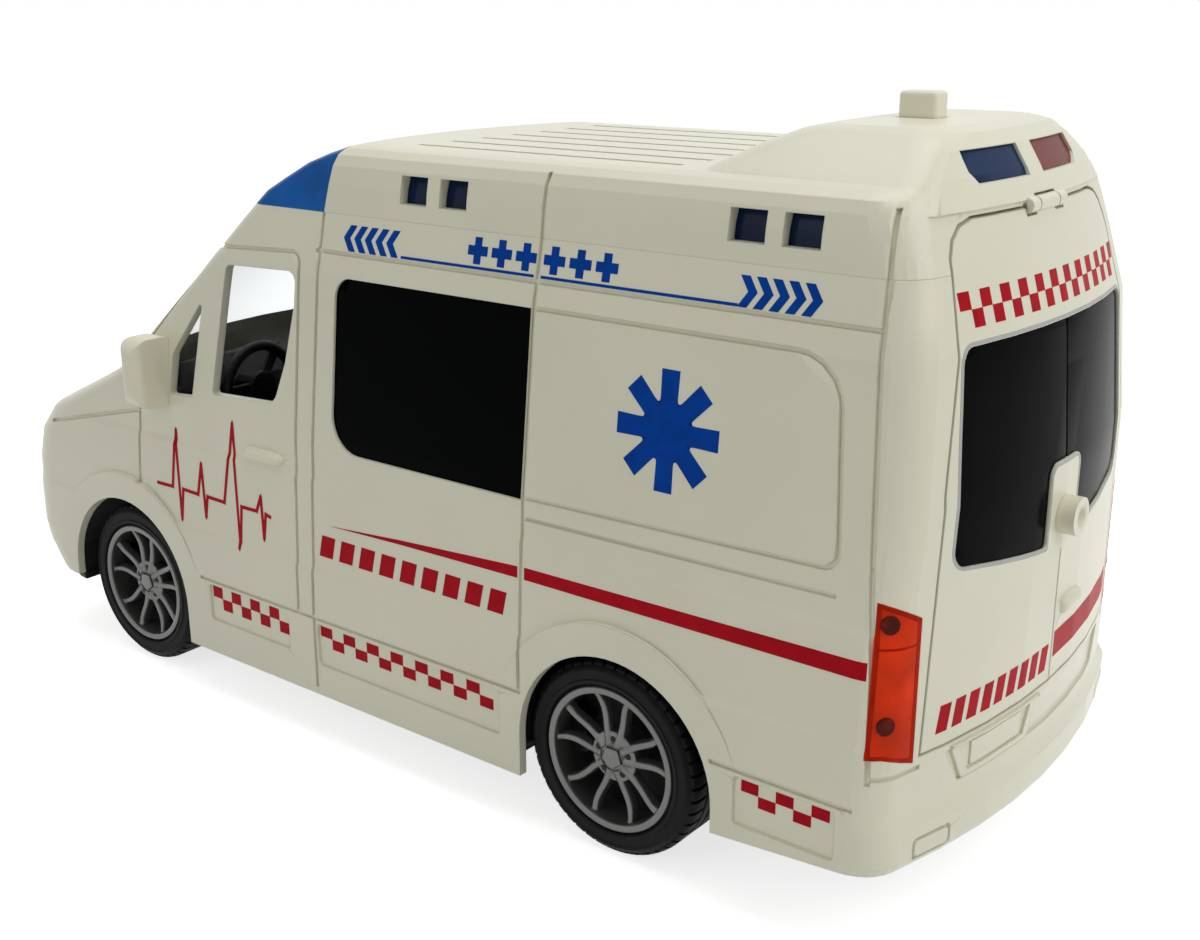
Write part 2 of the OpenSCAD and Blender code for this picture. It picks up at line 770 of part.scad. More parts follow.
module hinge_pin() {
  color(steel)
    rod_y(hinge_x, hinge_z, hinge_pin_d / 2, -hinge_half, hinge_half);
}

module side_window() {
  color(black)
    difference() {
      intersection() {
        body_form(0.5, low_z(0.85), seam_z - 4.6);
        along_y(0, 80)
          side_window_2d();
      }
      body_form(wall, low_z(0.85), seam_z - 4.6);
    }
}

module side_window_left() {
  side_window();
}

module side_window_right() {
  mirror([0, 1, 0])
    side_window();
}

module windscreen() {
  color([0.8, 0.85, 0.88, 0.4])
    difference() {
      intersection() {
        body_form(0.3, side_z(0.15), seam_z + 1.4);
        along_x(pillar_at + 16, nose_x)
          windscreen_2d();
      }
      body_form(wall, side_z(0.15), seam_z + 1.4);
    }
}

module front_lens() {
  color(lens_blue)
    difference() {
      intersection() {
        body_form(0, seam_z - 8);
        lens_block();
      }
      body_form(wall, seam_z - 8);
    }
}

module roof_strip() {
  color([0.02, 0.1, 0.3])
    difference() {
      intersection() {
        body_form(wall, seam_z - 8);
        translate([tail_x + 25, 20, seam_z + 2])
          cube([pillar_at - 20 - tail_x - 25, sill_y, 8]);
      }
      body_form(wall + 1, seam_z - 8);
    }
}

module roof_strip_left() {
  roof_strip();
}

module roof_strip_right() {
  mirror([0, 1, 0])
    roof_strip();
}

module rear_lens(s) {
  difference() {
    intersection() {
      hump_form(0.4);
      along_x(tail_x, tail_x + 20)
        rear_lens_2d(s);
    }
    hump_form(wall);
  }
}

module rear_lens_blue() {
  color([0.1, 0.18, 0.4])
    rear_lens(1);
}

module rear_lens_red() {
  color([0.5, 0.2, 0.2])
    rear_lens(-1);
}

module tail_lamp() {
  color(lamp_red) {
    difference() {
      intersection() {
        body_form(0, groove_h, belt_h);
        lamp_block();
      }
      body_form(wall, groove_h, belt_h);
    }
    // pegs behind the lens
    intersection() {
      body_form(wall, groove_h, belt_h);
      for (z = [lamp_low + 5.7, lamp_top - 3.6])
        rod_y(tail_x + 7.6, z, 1.3, lamp_inner + 2, sill_y);
    }
  }
}

module tail_lamp_left() {
  tail_lamp();
}

module tail_lamp_right() {
  mirror([0, 1, 0])
    tail_lamp();
}

// Door mirror: rounded housing that meets the side above the belt
module mirror_housing() {
  x0 = pillar_at + 46.6;
  color(cream)
    difference() {
      intersection() {
        along_x(x0, x0 + 6)
          rrect([sill_y - 6, belt_h + 0.6], [sill_y + 5.4, belt_h + 16], 4);
        translate([0, 0, belt_h])
          linear_extrude(20)
            rrect([x0, sill_y - 8], [x0 + 6, sill_y + 5.4], 2.4);
      }
      body_form(0, low_z(0.85));
    }
}

module mirror_left() {
  mirror_housing();
}

module mirror_right() {
  mirror([0, 1, 0])
    mirror_housing();
}

module headlamp() {
  color([0.85, 0.88, 0.9])
    difference() {
      intersection() {
        body_form(0.2, low_z(0.4), low_z(0.87));
        along_x(nose_x - 32, nose_x + 5)
          headlamp_2d();
      }
      body_form(wall, low_z(0.4), low_z(0.87));
    }
}

module headlamp_left() {
  headlamp();
}

module headlamp_right() {
  mirror([0, 1, 0])
    headlamp();
}

module grille() {
  color(black)
    difference() {
      intersection() {
        body_form(0.4, crease_low, low_z(0.87));
        along_x(nose_x - 32, nose_x + 5)
          grille_2d();
      }
      body_form(wall, crease_low, low_z(0.87));
      difference() {
        for (z = [grille_low + 2.2:3:grille_top - 1])
          translate([nose_x - 20, -19, z])
            cube([30, 38, 1.4]);
        body_form(1.1, crease_low, low_z(0.87));
      }
    }
}

// Gear train: axle gear, idler and flywheel
gear_gap = 0.12;
gear_a = gear_mod * (wheel_teeth + pinion_teeth) / 2 + gear_gap;
idler_dir = 50;
fly_dir = 15;
idler_x = rear_axle_x + gear_a * cos(idler_dir);
idler_z = axle_z + gear_a * sin(idler_dir);
fly_x = idler_x + gear_a * cos(fly_dir);
fly_z = idler_z + gear_a * sin(fly_dir);
shaft_r = shaft_d / 2;
gear_tip = gear_mod * (wheel_teeth / 2 + 0.85);

// Chassis plate: stepped up behind the rear wheels, cut away for the wheels and the motor
motor_x0 = rear_axle_x - gear_tip - 4;
motor_x1 = fly_x + flywheel_d / 2 + 5.7;
motor_y = 15;
well_y = wheel_y - tyre_w - 3;
cab_z = plate_top + 14.2;
post_r = 2.6;
bearing_y = well_y - 5;
motor_tab = 8;
motor_z0 = axle_z - gear_tip - 1.6;
motor_z1 = fly_z + flywheel_d / 2 + 4.1;
tray_z = max(axle_z + arch_r + 2.6, motor_z1 + 4);
battery_wall = 1.6;
battery_x0 = motor_x1 + motor_tab + battery_wall + 0.6;
battery_x1 = battery_x0 + 41;
battery_y = 8;
cover_screw_x = battery_x1 + 5;
speaker_x = tail_x + 20;
speaker_z = rear_plate_z + plate_t;
motor_screw_x = motor_x1 + 4;

module well_2d(r) {
  translate([0, axle_z])
    circle(r);
  translate([-r, 0])
    square([2 * r, axle_z]);
}

module chassis_plate() {
  color(black)
    difference() {
      union() {
        intersection() {
          difference() {
            union() {
              translate([rear_arch_x - arch_r - 1, -sill_y, plate_z])
                cube([nose_x - 16 - rear_arch_x + arch_r + 1, body_w, plate_t]);
              translate([tail_x + 6, -sill_y, rear_plate_z])
                cube([rear_arch_x - arch_r - tail_x - 6 + 1, body_w, plate_t]);
              translate([rear_arch_x - arch_r - 1, -sill_y, plate_z])
                cube([plate_t, body_w, rear_plate_z + plate_t - plate_z]);
            }
            both_sides()
              for (x = [rear_arch_x, front_arch_x])
                translate([x - arch_r - 0.4, well_y, 0])
                  cube([2 * arch_r + 0.8, 60, 60]);
          }
          body_form(wall + 0.3, 0, low_z(0.9));
        }
        // wheel wells: a lining over each tyre and a wall behind it
        intersection() {
          both_sides()
            for (x = [rear_arch_x, front_arch_x])
              difference() {
                translate([x, 0, 0])
                  along_y(well_y - 1.6, sill_y)
                    well_2d(arch_r + 1.8);
                translate([x, 0, 0])
                  along_y(well_y, sill_y + 1)
                    well_2d(arch_r + 0.6);
              }
          body_form(wall + 0.3, 0, low_z(0.9));
          above(plate_z);
        }
        // front axle bearings
        both_sides()
          translate([front_axle_x - 4.5, bearing_y, plate_top - 0.5])
            cube([9, 4, axle_z + 4.5 - plate_top + 0.5]);
        // posts under the interior
        both_sides() {
          translate([pillar_at - 16.3, well_y - 3.8, plate_top - 1])
            cylinder(r = post_r, h = tray_z - plate_top + 1);
          translate([tail_x + 23, well_y - 3.8, rear_plate_z])
            cylinder(r = post_r, h = tray_z - rear_plate_z);
          translate([screw_front_x, well_y - 5.8, plate_top - 1])
            cylinder(r = post_r, h = cab_z - plate_top + 1);
        }
        // battery walls
        difference() {
            translate([battery_x0 - battery_wall, -battery_y - battery_wall, plate_top - 0.5])
            cube([battery_x1 - battery_x0 + 2 * battery_wall, 2 * (battery_y + battery_wall), 7.5]);
          translate([battery_x0, -battery_y, plate_top - 2])
            cube([battery_x1 - battery_x0, 2 * battery_y, 20]);
        }
        // boss of the cover screw
        translate([cover_screw_x, 0, plate_top - 0.5])
          cylinder(r = 3, h = 7.5);
      }
      // motor opening
      translate([motor_x0 - 0.2, -motor_y - 0.2, 0])
        cube([motor_x1 - motor_x0 + 0.4, 2 * motor_y + 0.4, 30]);
      // battery opening and the ledge for its cover
      translate([battery_x0, -battery_y, 0])
        cube([battery_x1 - battery_x0, 2 * battery_y, plate_top + 0.01]);
      translate([battery_x1 - 0.01, -4, plate_z - 1])
        cube([9.2, 8, 2]);
      translate([cover_screw_x, 0, 0])
        cylinder(r = screw_r, h = plate_top + 5);
      // speaker holes
      translate([speaker_x, 0, 0]) {
        cylinder(r = 1, h = 20);
        for (ring = [1, 2], k = [0:6 * ring - 1])
          rotate(60 * k / ring)
            translate([3.6 * ring, 0, 0])
              cylinder(r = 1, h = 20);
      }
      // front axle bores, and room for the axles in the wells' walls
      rod_y(front_axle_x, axle_z, axle_r + run_gap, -60, 60);
      for (x = [rear_axle_x, front_axle_x])
        both_sides()
          rod_y(x, axle_z, hub_r + 1, well_y - 2, well_y + 1);
      // clearance holes of the body screws
      for (x = [screw_front_x, screw_rear_x], s = [-1, 1])
        translate([x, s * screw_y, 0])
          cylinder(r = screw_r + 0.2, h = 24);
      // sunk seats of their heads
      for (s = [-1, 1]) {
        translate([screw_front_x, s * screw_y, plate_z - 1])
          cylinder(r = head_r + 0.3, h = 1 + head_t + 0.1);
        translate([screw_rear_x, s * screw_y, rear_plate_z - 1])
          cylinder(r = head_r + 0.3, h = 1 + head_t + 0.1);
      }
      // pilot holes of the motor screws
      for (s = [-1, 1])
        translate([motor_screw_x, s * 10, 0])
          cylinder(r = screw_r, h = 24);
    }
}

// Interior tray: cargo floor, bulkhead, cab floor, dashboard and two seats
dash_x = pillar_at + 54;
tray_y = well_y - 2.2;
steer_r = 9.4;
wheel_z = side_z(0.304) - steer_r - 1.2;
module interior_tray() {
  color(black)
    difference() {
      intersection() {
        union() {
          translate([tail_x + 9, -60, tray_z])
            cube([pillar_at - 4 - tail_x - 9, 120, 1.6]);
          translate([pillar_at - 5.6, -60, cab_z])
            cube([1.6, 120, 44]);
          translate([pillar_at - 5.6, -60, cab_z])
            cube([front_arch_x - arch_r - 1 - pillar_at + 5.6, 120, 1.6]);
          translate([front_arch_x - arch_r - 2.6, -tray_y, cab_z])
            cube([dash_x - front_arch_x + arch_r + 4, 2 * tray_y, 1.6]);
          translate([dash_x, -tray_y, cab_z])
            cube([1.6, 2 * tray_y, axle_z + 36 - cab_z]);
          // dashboard
          translate([dash_x, -60, axle_z + 31])
            cube([14, 120, belt_h + 0.4 - axle_z - 31]);
          along_y(8, 34)
            polygon([[dash_x, belt_h - 0.6], [dash_x + 12, belt_h - 0.6], [dash_x + 9, belt_h + 5.4],
              [dash_x + 1, belt_h + 6.8]]);
          // seats
          both_sides() {
            translate([pillar_at + 8, 8, cab_z])
              cube([20, 25, 13]);
            along_y(8, 33)
              polygon([[pillar_at + 7, cab_z + 8], [pillar_at + 14, cab_z + 8], [pillar_at + 9, belt_h + 15.4],
                [pillar_at + 4, belt_h + 15.4]]);
            along_y(14, 27)
              polygon([[pillar_at + 4.2, belt_h + 13.4], [pillar_at + 8.6, belt_h + 13.4], [pillar_at + 8, belt_h + 24.4],
                [pillar_at + 4, belt_h + 24.4]]);
          }
        }
        body_form(wall + 0.5, bumper_h - 3, seam_z + 1.4);
      }
      // room for the tail lamp pegs
      both_sides()
        translate([tail_x, lamp_inner, tray_z - 10])
          cube([16, 30, 30]);
    }
}

module steering_wheel() {
  color(black)
    translate([dash_x, 21, wheel_z])
      rotate([0, -90, 0]) {
        cylinder(r = 1.8, h = 7);
        translate([0, 0, 7]) {
          rotate_extrude()
            translate([steer_r, 0])
              circle(1.2);
          cylinder(r = 3.6, h = 1.6);
          for (a = [90, 210, 330])
            rotate(a)
              translate([0, -1.2, -0.6])
                cube([steer_r, 2.4, 1.2]);
        }
      }
}

module sound_board() {
  color([0.1, 0.35, 0.15])
    difference() {
      translate([tail_x + 17, -16, board_z])
        cube([30, 32, board_t]);
      both_sides()
        for (x = [post_rear_x, post_front_x])
          translate([x, 12, 0])
            cylinder(r = 0.8, h = 200);
    }
}

// Rubber dome that the button presses
module switch_dome() {
  color([0.75, 0.75, 0.72])
    translate([button_x, 0, board_top])
      difference() {
        union() {
          cylinder(r = 4.2, h = 1);
          cylinder(r = 3, h = dome_h);
        }
        translate([0, 0, -1])
          cylinder(r = 2, h = dome_h);
      }
}

module diodes() {
  color([0.85, 0.9, 0.95])
    for (s = [-1, 1]) {
      translate([tail_x + 17.6, s * 8, board_top])
        cylinder(r = 1.9, h = 1);
      translate([tail_x + 17.6, s * 8, board_top])
        cylinder(r = 1.5, h = 4);
      translate([tail_x + 17.6, s * 8, board_top + 4])
        sphere(r = 1.5);
    }
}

module roof_button() {
  z0 = board_top + dome_h + 0.2;
  zf = hump_in - 0.2 - flange_t;
  color(cream) {
    translate([button_x - button_l / 2, -button_w / 2, zf])
      difference() {
        cube([button_l, button_w, hump_h + button_out - zf]);
        for (y = [0, button_w])
          translate([-1, y, hump_h + button_out - zf])
            rotate([45, 0, 0])
              cube([button_l + 2, 0.6, 0.6], center = false);
      }
    translate([button_x - button_l / 2 - 1.4, -button_w / 2 - 1.4, zf])
      cube([button_l + 2.8, button_w + 2.8, flange_t]);
    translate([button_x, 0, z0])
      cylinder(r = 1.9, h = zf - z0 + 0.5);
  }
}

module speaker() {
  color([0.25, 0.25, 0.26])
    translate([speaker_x, 0, speaker_z])
      difference() {
        union() {
          cylinder(r = 11, h = 2);
          cylinder(r = 6.5, h = 6);
        }
        translate([0, 0, -1])
          cylinder(r = 9, h = 2);
      }
}

module button_cells() {
  color(steel)
    for (k = [0:2])
      translate([battery_x0 + 7.5 + 13 * k, 0, plate_top])
        cylinder(d = 11.6, h = 5.4);
}

module battery_cover() {
  color(black)
    difference() {
      union() {
        translate([battery_x0 + 0.2, -battery_y + 0.2, plate_z])
          cube([battery_x1 - battery_x0 - 0.2, 2 * battery_y - 0.4, plate_t]);
        translate([battery_x1 - 1, -3.8, plate_z - 0.2])
          cube([10, 7.6, 1.2]);
      }
      translate([cover_screw_x, 0, 0])
        cylinder(r = screw_r + 0.2, h = 30);
    }
}

// Pan head screw pointing up from z
module screw(z, l) {
  difference() {
    union() {
      translate([0, 0, z - head_t])
        cylinder(r = head_r, h = head_t);
      translate([0, 0, z - 0.2])
        cylinder(r = screw_r, h = l);
    }
    translate([-1.2, -0.25, z - head_t - 0.1])
      cube([2.4, 0.5, 0.7]);
    translate([-0.25, -1.2, z - head_t - 0.1])
      cube([0.5, 2.4, 0.7]);
  }
}

module battery_screw() {
  color(steel)
    translate([cover_screw_x, 0, 0])
      screw(plate_z - 0.2, 6.4);
}

module body_screws() {
  color(steel)
    for (s = [-1, 1]) {
      translate([screw_front_x, s * screw_y, 0])
        screw(plate_z + head_t + 0.1, 10);
      translate([screw_rear_x, s * screw_y, 0])
        screw(rear_plate_z + head_t + 0.1, 8);
    }
}

module motor_screws() {
  color(steel)
    for (s = [-1, 1])
      translate([motor_screw_x, s * 10, plate_top + 1.6])
        mirror([0, 0, 1])
          screw(0, 3.4);
}

// Spur gear with slim teeth; a tooth points along +X of the outline
module gear_2d(n) {
  r = gear_mod * n / 2;
  ra = r + 0.85 * gear_mod;
  rf = r - 1.1 * gear_mod;
  step = 360 / n;
  polygon([for (k = [0:n - 1]) for (p = [[rf, -0.27], [r, -0.2], [ra, -0.1], [ra, 0.1], [r, 0.2], [rf, 0.27]])
    let (a = (k + p.y) * step) [p.x * cos(a), p.x * sin(a)]]);
}

// Gear along Y whose tooth or gap points along direction a in the x, z plane
module gear(x, z, n, y0, y1, a, gap = 0) {
  translate([x, 0, z])
    along_y(y0, y1)
      rotate(a + gap * 180 / n)
        gear_2d(n);
}

module motor_case(s) {
  difference() {
    union() {
      translate([motor_x0, s > 0 ? 0 : -motor_y, motor_z0])
        cube([motor_x1 - motor_x0, motor_y, motor_z1 - motor_z0]);
      translate([motor_x1 - 1, s > 0 ? 4 : -motor_y, plate_top])
        cube([motor_tab + 1, motor_y - 4, 1.6]);
    }
    translate([motor_x0 + 1.5, s > 0 ? -1 : -motor_y + 1.6, motor_z0 + 1.2])
      cube([motor_x1 - motor_x0 - 3, motor_y - 0.6, motor_z1 - motor_z0 - 2.8]);
    rod_y(rear_axle_x, axle_z, axle_r + run_gap, -20, 20);
    rod_y(idler_x, idler_z, shaft_r + run_gap, -motor_y + 0.6, motor_y - 0.6);
    rod_y(fly_x, fly_z, shaft_r + run_gap, -motor_y + 0.6, motor_y - 0.6);
    translate([motor_screw_x, s * 10, 0])
      cylinder(r = screw_r + 0.2, h = 30);
  }
}

module motor_case_left() {
  color([0.12, 0.12, 0.13])
    motor_case(1);
}

module motor_case_right() {
  color([0.12, 0.12, 0.13])
    motor_case(-1);
}

module axle_gear() {
  color([0.85, 0.85, 0.8])
    difference() {
      union() {
        gear(rear_axle_x, axle_z, wheel_teeth, 3, 6, idler_dir);
        rod_y(rear_axle_x, axle_z, 3, 2, 7);
      }
      rod_y(rear_axle_x, axle_z, axle_r, -1, 10);
    }
}

module idler_gear() {
  color([0.85, 0.85, 0.8]) {
    gear(idler_x, idler_z, pinion_teeth, 1.8, 6.4, idler_dir + 180, 1);
    gear(idler_x, idler_z, wheel_teeth, -1, 2, fly_dir);
    rod_y(idler_x, idler_z, shaft_r, -motor_y + 0.9, motor_y - 0.9);
  }
}

module flywheel() {
  color(steel) {
    gear(fly_x, fly_z, pinion_teeth, -1.4, 2.4, fly_dir + 180, 1);
    rod_y(fly_x, fly_z, flywheel_d / 2, -11, -3);
    rod_y(fly_x, fly_z, gear_mod * pinion_teeth / 2 - 0.6, -3.2, -1.2);
    rod_y(fly_x, fly_z, shaft_r, -motor_y + 0.9, motor_y - 0.9);
  }
}

// Wheels
hub_r = 4.2;
rim_r = rim_d / 2;
axle_depth = 3.8;
axle_end = wheel_y - axle_depth;

module front_axle() {
  color(steel)
    rod_y(front_axle_x, axle_z, axle_r, -axle_end, axle_end);
}

module rear_axle() {
  color(steel)
    rod_y(rear_axle_x, axle_z, axle_r, -axle_end, axle_end);
}

// Tyre about its own axis: z = 0 is the outer face and +z runs inwards
module tyre() {
  r = tyre_d / 2;
  rotate_extrude($fn = 96)
    polygon([[rim_r, 0.7], [rim_r + 0.8, 0], [r - 1.6, 0.3], [r - 0.5, 1.3], [r, 2.6], [r, 4.4],
      [r - 0.5, 4.6], [r - 0.5, 5.2], [r, 5.4], [r, tyre_w - 5.4], [r - 0.5, tyre_w - 5.2],
      [r - 0.5, tyre_w - 4.6], [r, tyre_w - 4.4], [r, tyre_w - 2.6], [r - 0.5, tyre_w - 1.3],
      [r - 1.6, tyre_w - 0.3], [rim_r + 0.8, tyre_w], [rim_r, tyre_w - 0.7]]);
}

// Rim about its own axis: barrel, lip, spoke pairs that fork outwards, hub and cap
hub_face_r = 5;
lug_ring_r = 3.6;
spoke_w = 1.3;
module spokes_2d() {
  spoke_a = 360 / spoke_pairs;
  inner_r = 3;
  outer_r = rim_r - 1.4;
  for (k = [0:spoke_pairs - 1], s = [-1, 1]) {
    a0 = k * spoke_a + s * 14;
    a1 = k * spoke_a + s * 0.236 * spoke_a;
    line2d(inner_r * [cos(a0), sin(a0)], outer_r * [cos(a1), sin(a1)], spoke_w);
  }
}

module rim() {
  difference() {
    union() {
      rotate_extrude($fn = 96)
        polygon([[rim_r - 1.8, 0.5], [rim_r - 1, 0.2], [rim_r, 0.7], [rim_r, tyre_w - 0.7],
          [rim_r - 1.3, tyre_w - 0.7], [rim_r - 1.3, 3.9]]);
      translate([0, 0, 1.5])
        linear_extrude(1.9)
          spokes_2d();
      translate([0, 0, 1.9])
        cylinder(r = hub_face_r, h = 2.6);
      translate([0, 0, 4.2])
        cylinder(r = hub_r, h = tyre_w - 3.2);
      // brake disc behind the spokes
      translate([0, 0, 7.4])
        cylinder(r = rim_r - 0.8, h = 1.2);
      // cap with as many sides as there are spoke pairs
      translate([0, 0, 1.2])
        rotate(180 / spoke_pairs)
          cylinder(r = 2.3, h = 2, $fn = spoke_pairs);
    }
    for (k = [0:spoke_pairs - 1])
      rotate(k * 360 / spoke_pairs)
        translate([lug_ring_r, 0, 0.6])
          cylinder(r = 1.05, h = 2.5);
    translate([0, 0, axle_depth])
      cylinder(r = axle_r, h = 40);
  }
}

module wheel_place(x, s) {
  translate([x, s * wheel_y, axle_z])
    rotate([s * 90, 0, 0])
      children();
}

module front_rim_left() {
  color([0.45, 0.45, 0.46])
    wheel_place(front_axle_x, 1)
      rim();
}

module front_rim_right() {
  color([0.45, 0.45, 0.46])
    wheel_place(front_axle_x, -1)
      rim();
}

module rear_rim_left() {
  color([0.45, 0.45, 0.46])
    wheel_place(rear_axle_x, 1)
      rim();
}

module rear_rim_right() {
  color([0.45, 0.45, 0.46])
    wheel_place(rear_axle_x, -1)
      rim();
}

module front_tyre_left() {
  color(black)
    wheel_place(front_axle_x, 1)
      tyre();
}

module front_tyre_right() {
  color(black)
    wheel_place(front_axle_x, -1)
      tyre();
}

module rear_tyre_left() {
  color(black)
    wheel_place(rear_axle_x, 1)
      tyre();
}

module rear_tyre_right() {
  color(black)
    wheel_place(rear_axle_x, -1)
      tyre();
}

body_shell();
roof_shell();
tailgate();
tailgate_window();
tailgate_knob();
hinge_pin();
side_window_left();
side_window_right();
windscreen();
front_lens();
roof_strip_left();
roof_strip_right();
rear_lens_blue();
rear_lens_red();
tail_lamp_left();
tail_lamp_right();
mirror_left();
mirror_right();
headlamp_left();
headlamp_right();
grille();
chassis_plate();
interior_tray();
steering_wheel();
sound_board();
switch_dome();
diodes();
roof_button();
speaker();
button_cells();
battery_cover();
battery_screw();
body_screws();
motor_screws();
motor_case_left();
motor_case_right();
front_axle();
front_rim_left();
front_rim_right();
front_tyre_left();
front_tyre_right();
rear_axle();
rear_rim_left();
rear_rim_right();
rear_tyre_left();
rear_tyre_right();
axle_gear();
idler_gear();
flywheel();
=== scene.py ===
# %% [markdown]
# # A friction-drive toy ambulance, dressed in Blender
# The van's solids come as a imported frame: shells, lenses, wheels, tailgate and drive, each in its place.
# This lesson gives them the look of moulded plastic, prints the stripes and checkers on the sides,
# and builds finer wheels. Nothing here changes a size: every new piece sits on a solid of the frame
# or stands for one.

# %% Load the frame
import json
import math

import bmesh
import bpy
from mathutils import Matrix, Vector


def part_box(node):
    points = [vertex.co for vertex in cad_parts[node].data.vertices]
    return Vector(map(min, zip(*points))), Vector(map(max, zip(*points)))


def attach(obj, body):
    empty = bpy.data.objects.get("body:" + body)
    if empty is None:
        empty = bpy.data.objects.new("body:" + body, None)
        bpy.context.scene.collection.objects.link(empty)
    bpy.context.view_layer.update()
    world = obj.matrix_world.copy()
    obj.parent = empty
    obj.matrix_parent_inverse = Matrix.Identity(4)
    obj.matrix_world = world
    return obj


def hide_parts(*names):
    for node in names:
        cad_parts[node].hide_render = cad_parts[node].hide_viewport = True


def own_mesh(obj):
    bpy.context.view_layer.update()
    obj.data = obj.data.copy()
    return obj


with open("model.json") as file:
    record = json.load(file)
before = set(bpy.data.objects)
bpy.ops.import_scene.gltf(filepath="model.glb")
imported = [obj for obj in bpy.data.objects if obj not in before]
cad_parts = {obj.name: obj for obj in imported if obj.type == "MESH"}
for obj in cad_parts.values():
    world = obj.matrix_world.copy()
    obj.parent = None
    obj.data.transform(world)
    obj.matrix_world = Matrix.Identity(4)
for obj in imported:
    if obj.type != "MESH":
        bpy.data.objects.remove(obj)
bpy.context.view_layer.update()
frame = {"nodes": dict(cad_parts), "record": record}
cad = frame["nodes"]
scene = bpy.context.scene
MM = 0.001
LEFT, RIGHT = 1, -1
HANDS = {LEFT: "left", RIGHT: "right"}

# %% [markdown]
# ## Camera
# The photograph looks at the rear left corner from a little above. Its view was found by matching the
# wheels, windows and seams of the solids to the picture, so the camera is placed by its position and by
# the directions of its right and up sides.

# %% Camera
CAMERA_PLACE = Vector((-208.24, 235.41, 150.25)) * MM
CAMERA_RIGHT = Vector((-0.783598, -0.621250, -0.004705))
CAMERA_UP = Vector((0.182995, -0.238040, 0.953861))
LENS_MM, SENSOR_MM = 44.61, 36.0
SHIFT_X, SHIFT_Y = 0.0048, -0.0042
NEAREST = 10 * MM

camera = bpy.data.objects.new("camera", bpy.data.cameras.new("camera"))
scene.collection.objects.link(camera)
camera.data.lens = LENS_MM
camera.data.sensor_width = SENSOR_MM
camera.data.sensor_fit = "HORIZONTAL"
camera.data.shift_x = SHIFT_X
camera.data.shift_y = SHIFT_Y
camera.data.clip_start = NEAREST
turn = Matrix((CAMERA_RIGHT, CAMERA_UP, CAMERA_RIGHT.cross(CAMERA_UP))).transposed()
camera.matrix_world = Matrix.Translation(CAMERA_PLACE) @ turn.to_4x4()
scene.camera = camera
print("camera at", [round(c / MM) for c in CAMERA_PLACE], "mm, lens", LENS_MM, "mm")

# %% [markdown]
# ## Studio
# A toy on a white page: a pale floor that keeps a soft shadow, a white world, and three broad lamps.
# The rear and the roof are the bright sides in the photograph and the left side lies in half shade,
# so one lamp hangs behind the van, one above it, and a weak one lights its left side. The white that
# the camera sees comes from the Light Path node, so it adds no light to the toy.

# %% Studio
SKY_LIGHT = 0.25
FLOOR_GLOW = 0.74
SKY_COLOUR = (1.0, 0.99, 0.97, 1)
WHITE = (1, 1, 1, 1)
PAPER_COLOUR, PAPER_ROUGHNESS = (0.82, 0.82, 0.81, 1), 0.9
# The floor reaches this far each way, and the lamps aim near the middle of the toy
FLOOR = 3000 * MM
AIM = Vector((0, 0, 60)) * MM
LAMPS = [
    # name, place in mm, size in mm, power in watts
    ("rear lamp", (-700, -120, 520), 620, 2.4),
    ("top lamp", (40, -60, 900), 700, 3.1),
    ("left lamp", (160, 800, 460), 500, 0.8),
]


def camera_sees(tree):
    """A value of 1 where a ray comes from the camera, a mirror or a clear piece."""
    path = tree.nodes.new("ShaderNodeLightPath")
    seen = path.outputs["Is Camera Ray"]
    for name in ("Is Glossy Ray", "Is Transmission Ray"):
        either = tree.nodes.new("ShaderNodeMath")
        either.operation = "MAXIMUM"
        tree.links.new(seen, either.inputs[0])
        tree.links.new(path.outputs[name], either.inputs[1])
        seen = either.outputs[0]
    return seen


world = bpy.data.worlds.new("white studio")
world.use_nodes = True
scene.world = world
sky = world.node_tree
soft = sky.nodes["Background"]
soft.inputs["Color"].default_value = SKY_COLOUR
soft.inputs["Strength"].default_value = SKY_LIGHT
page = sky.nodes.new("ShaderNodeBackground")
page.inputs["Color"].default_value = WHITE
page.inputs["Strength"].default_value = 1.0
choose = sky.nodes.new("ShaderNodeMixShader")
sky.links.new(camera_sees(sky), choose.inputs[0])
sky.links.new(soft.outputs[0], choose.inputs[1])
sky.links.new(page.outputs[0], choose.inputs[2])
sky.links.new(choose.outputs[0], sky.nodes["World Output"].inputs[0])

for name, where, size, power in LAMPS:
    lamp = bpy.data.lights.new(name, "AREA")
    lamp.energy = power
    lamp.size = size * MM
    holder = bpy.data.objects.new(name, lamp)
    holder.location = Vector(where) * MM
    holder.rotation_euler = (AIM - holder.location).to_track_quat("-Z", "Y").to_euler()
    scene.collection.objects.link(holder)

floor_mesh = bpy.data.meshes.new("floor")
floor_mesh.from_pydata([(-FLOOR, -FLOOR, 0), (FLOOR, -FLOOR, 0), (FLOOR, FLOOR, 0), (-FLOOR, FLOOR, 0)],
                       [], [(0, 1, 2, 3)])
floor = bpy.data.objects.new("floor", floor_mesh)
scene.collection.objects.link(floor)
paper = bpy.data.materials.new("paper floor")
paper.use_nodes = True
sheet = paper.node_tree
matt = sheet.nodes["Principled BSDF"]
matt.inputs["Base Color"].default_value = PAPER_COLOUR
matt.inputs["Roughness"].default_value = PAPER_ROUGHNESS
glow = sheet.nodes.new("ShaderNodeEmission")
strength = sheet.nodes.new("ShaderNodeMath")
strength.operation = "MULTIPLY"
strength.inputs[1].default_value = FLOOR_GLOW
sheet.links.new(camera_sees(sheet), strength.inputs[0])
sheet.links.new(strength.outputs[0], glow.inputs["Strength"])
both = sheet.nodes.new("ShaderNodeAddShader")
sheet.links.new(matt.outputs[0], both.inputs[0])
sheet.links.new(glow.outputs[0], both.inputs[1])
sheet.links.new(both.outputs[0], sheet.nodes["Material Output"].inputs[0])
floor.data.materials.append(paper)
scene.view_settings.view_transform = "Standard"
print("lamps:", [lamp[0] for lamp in LAMPS])

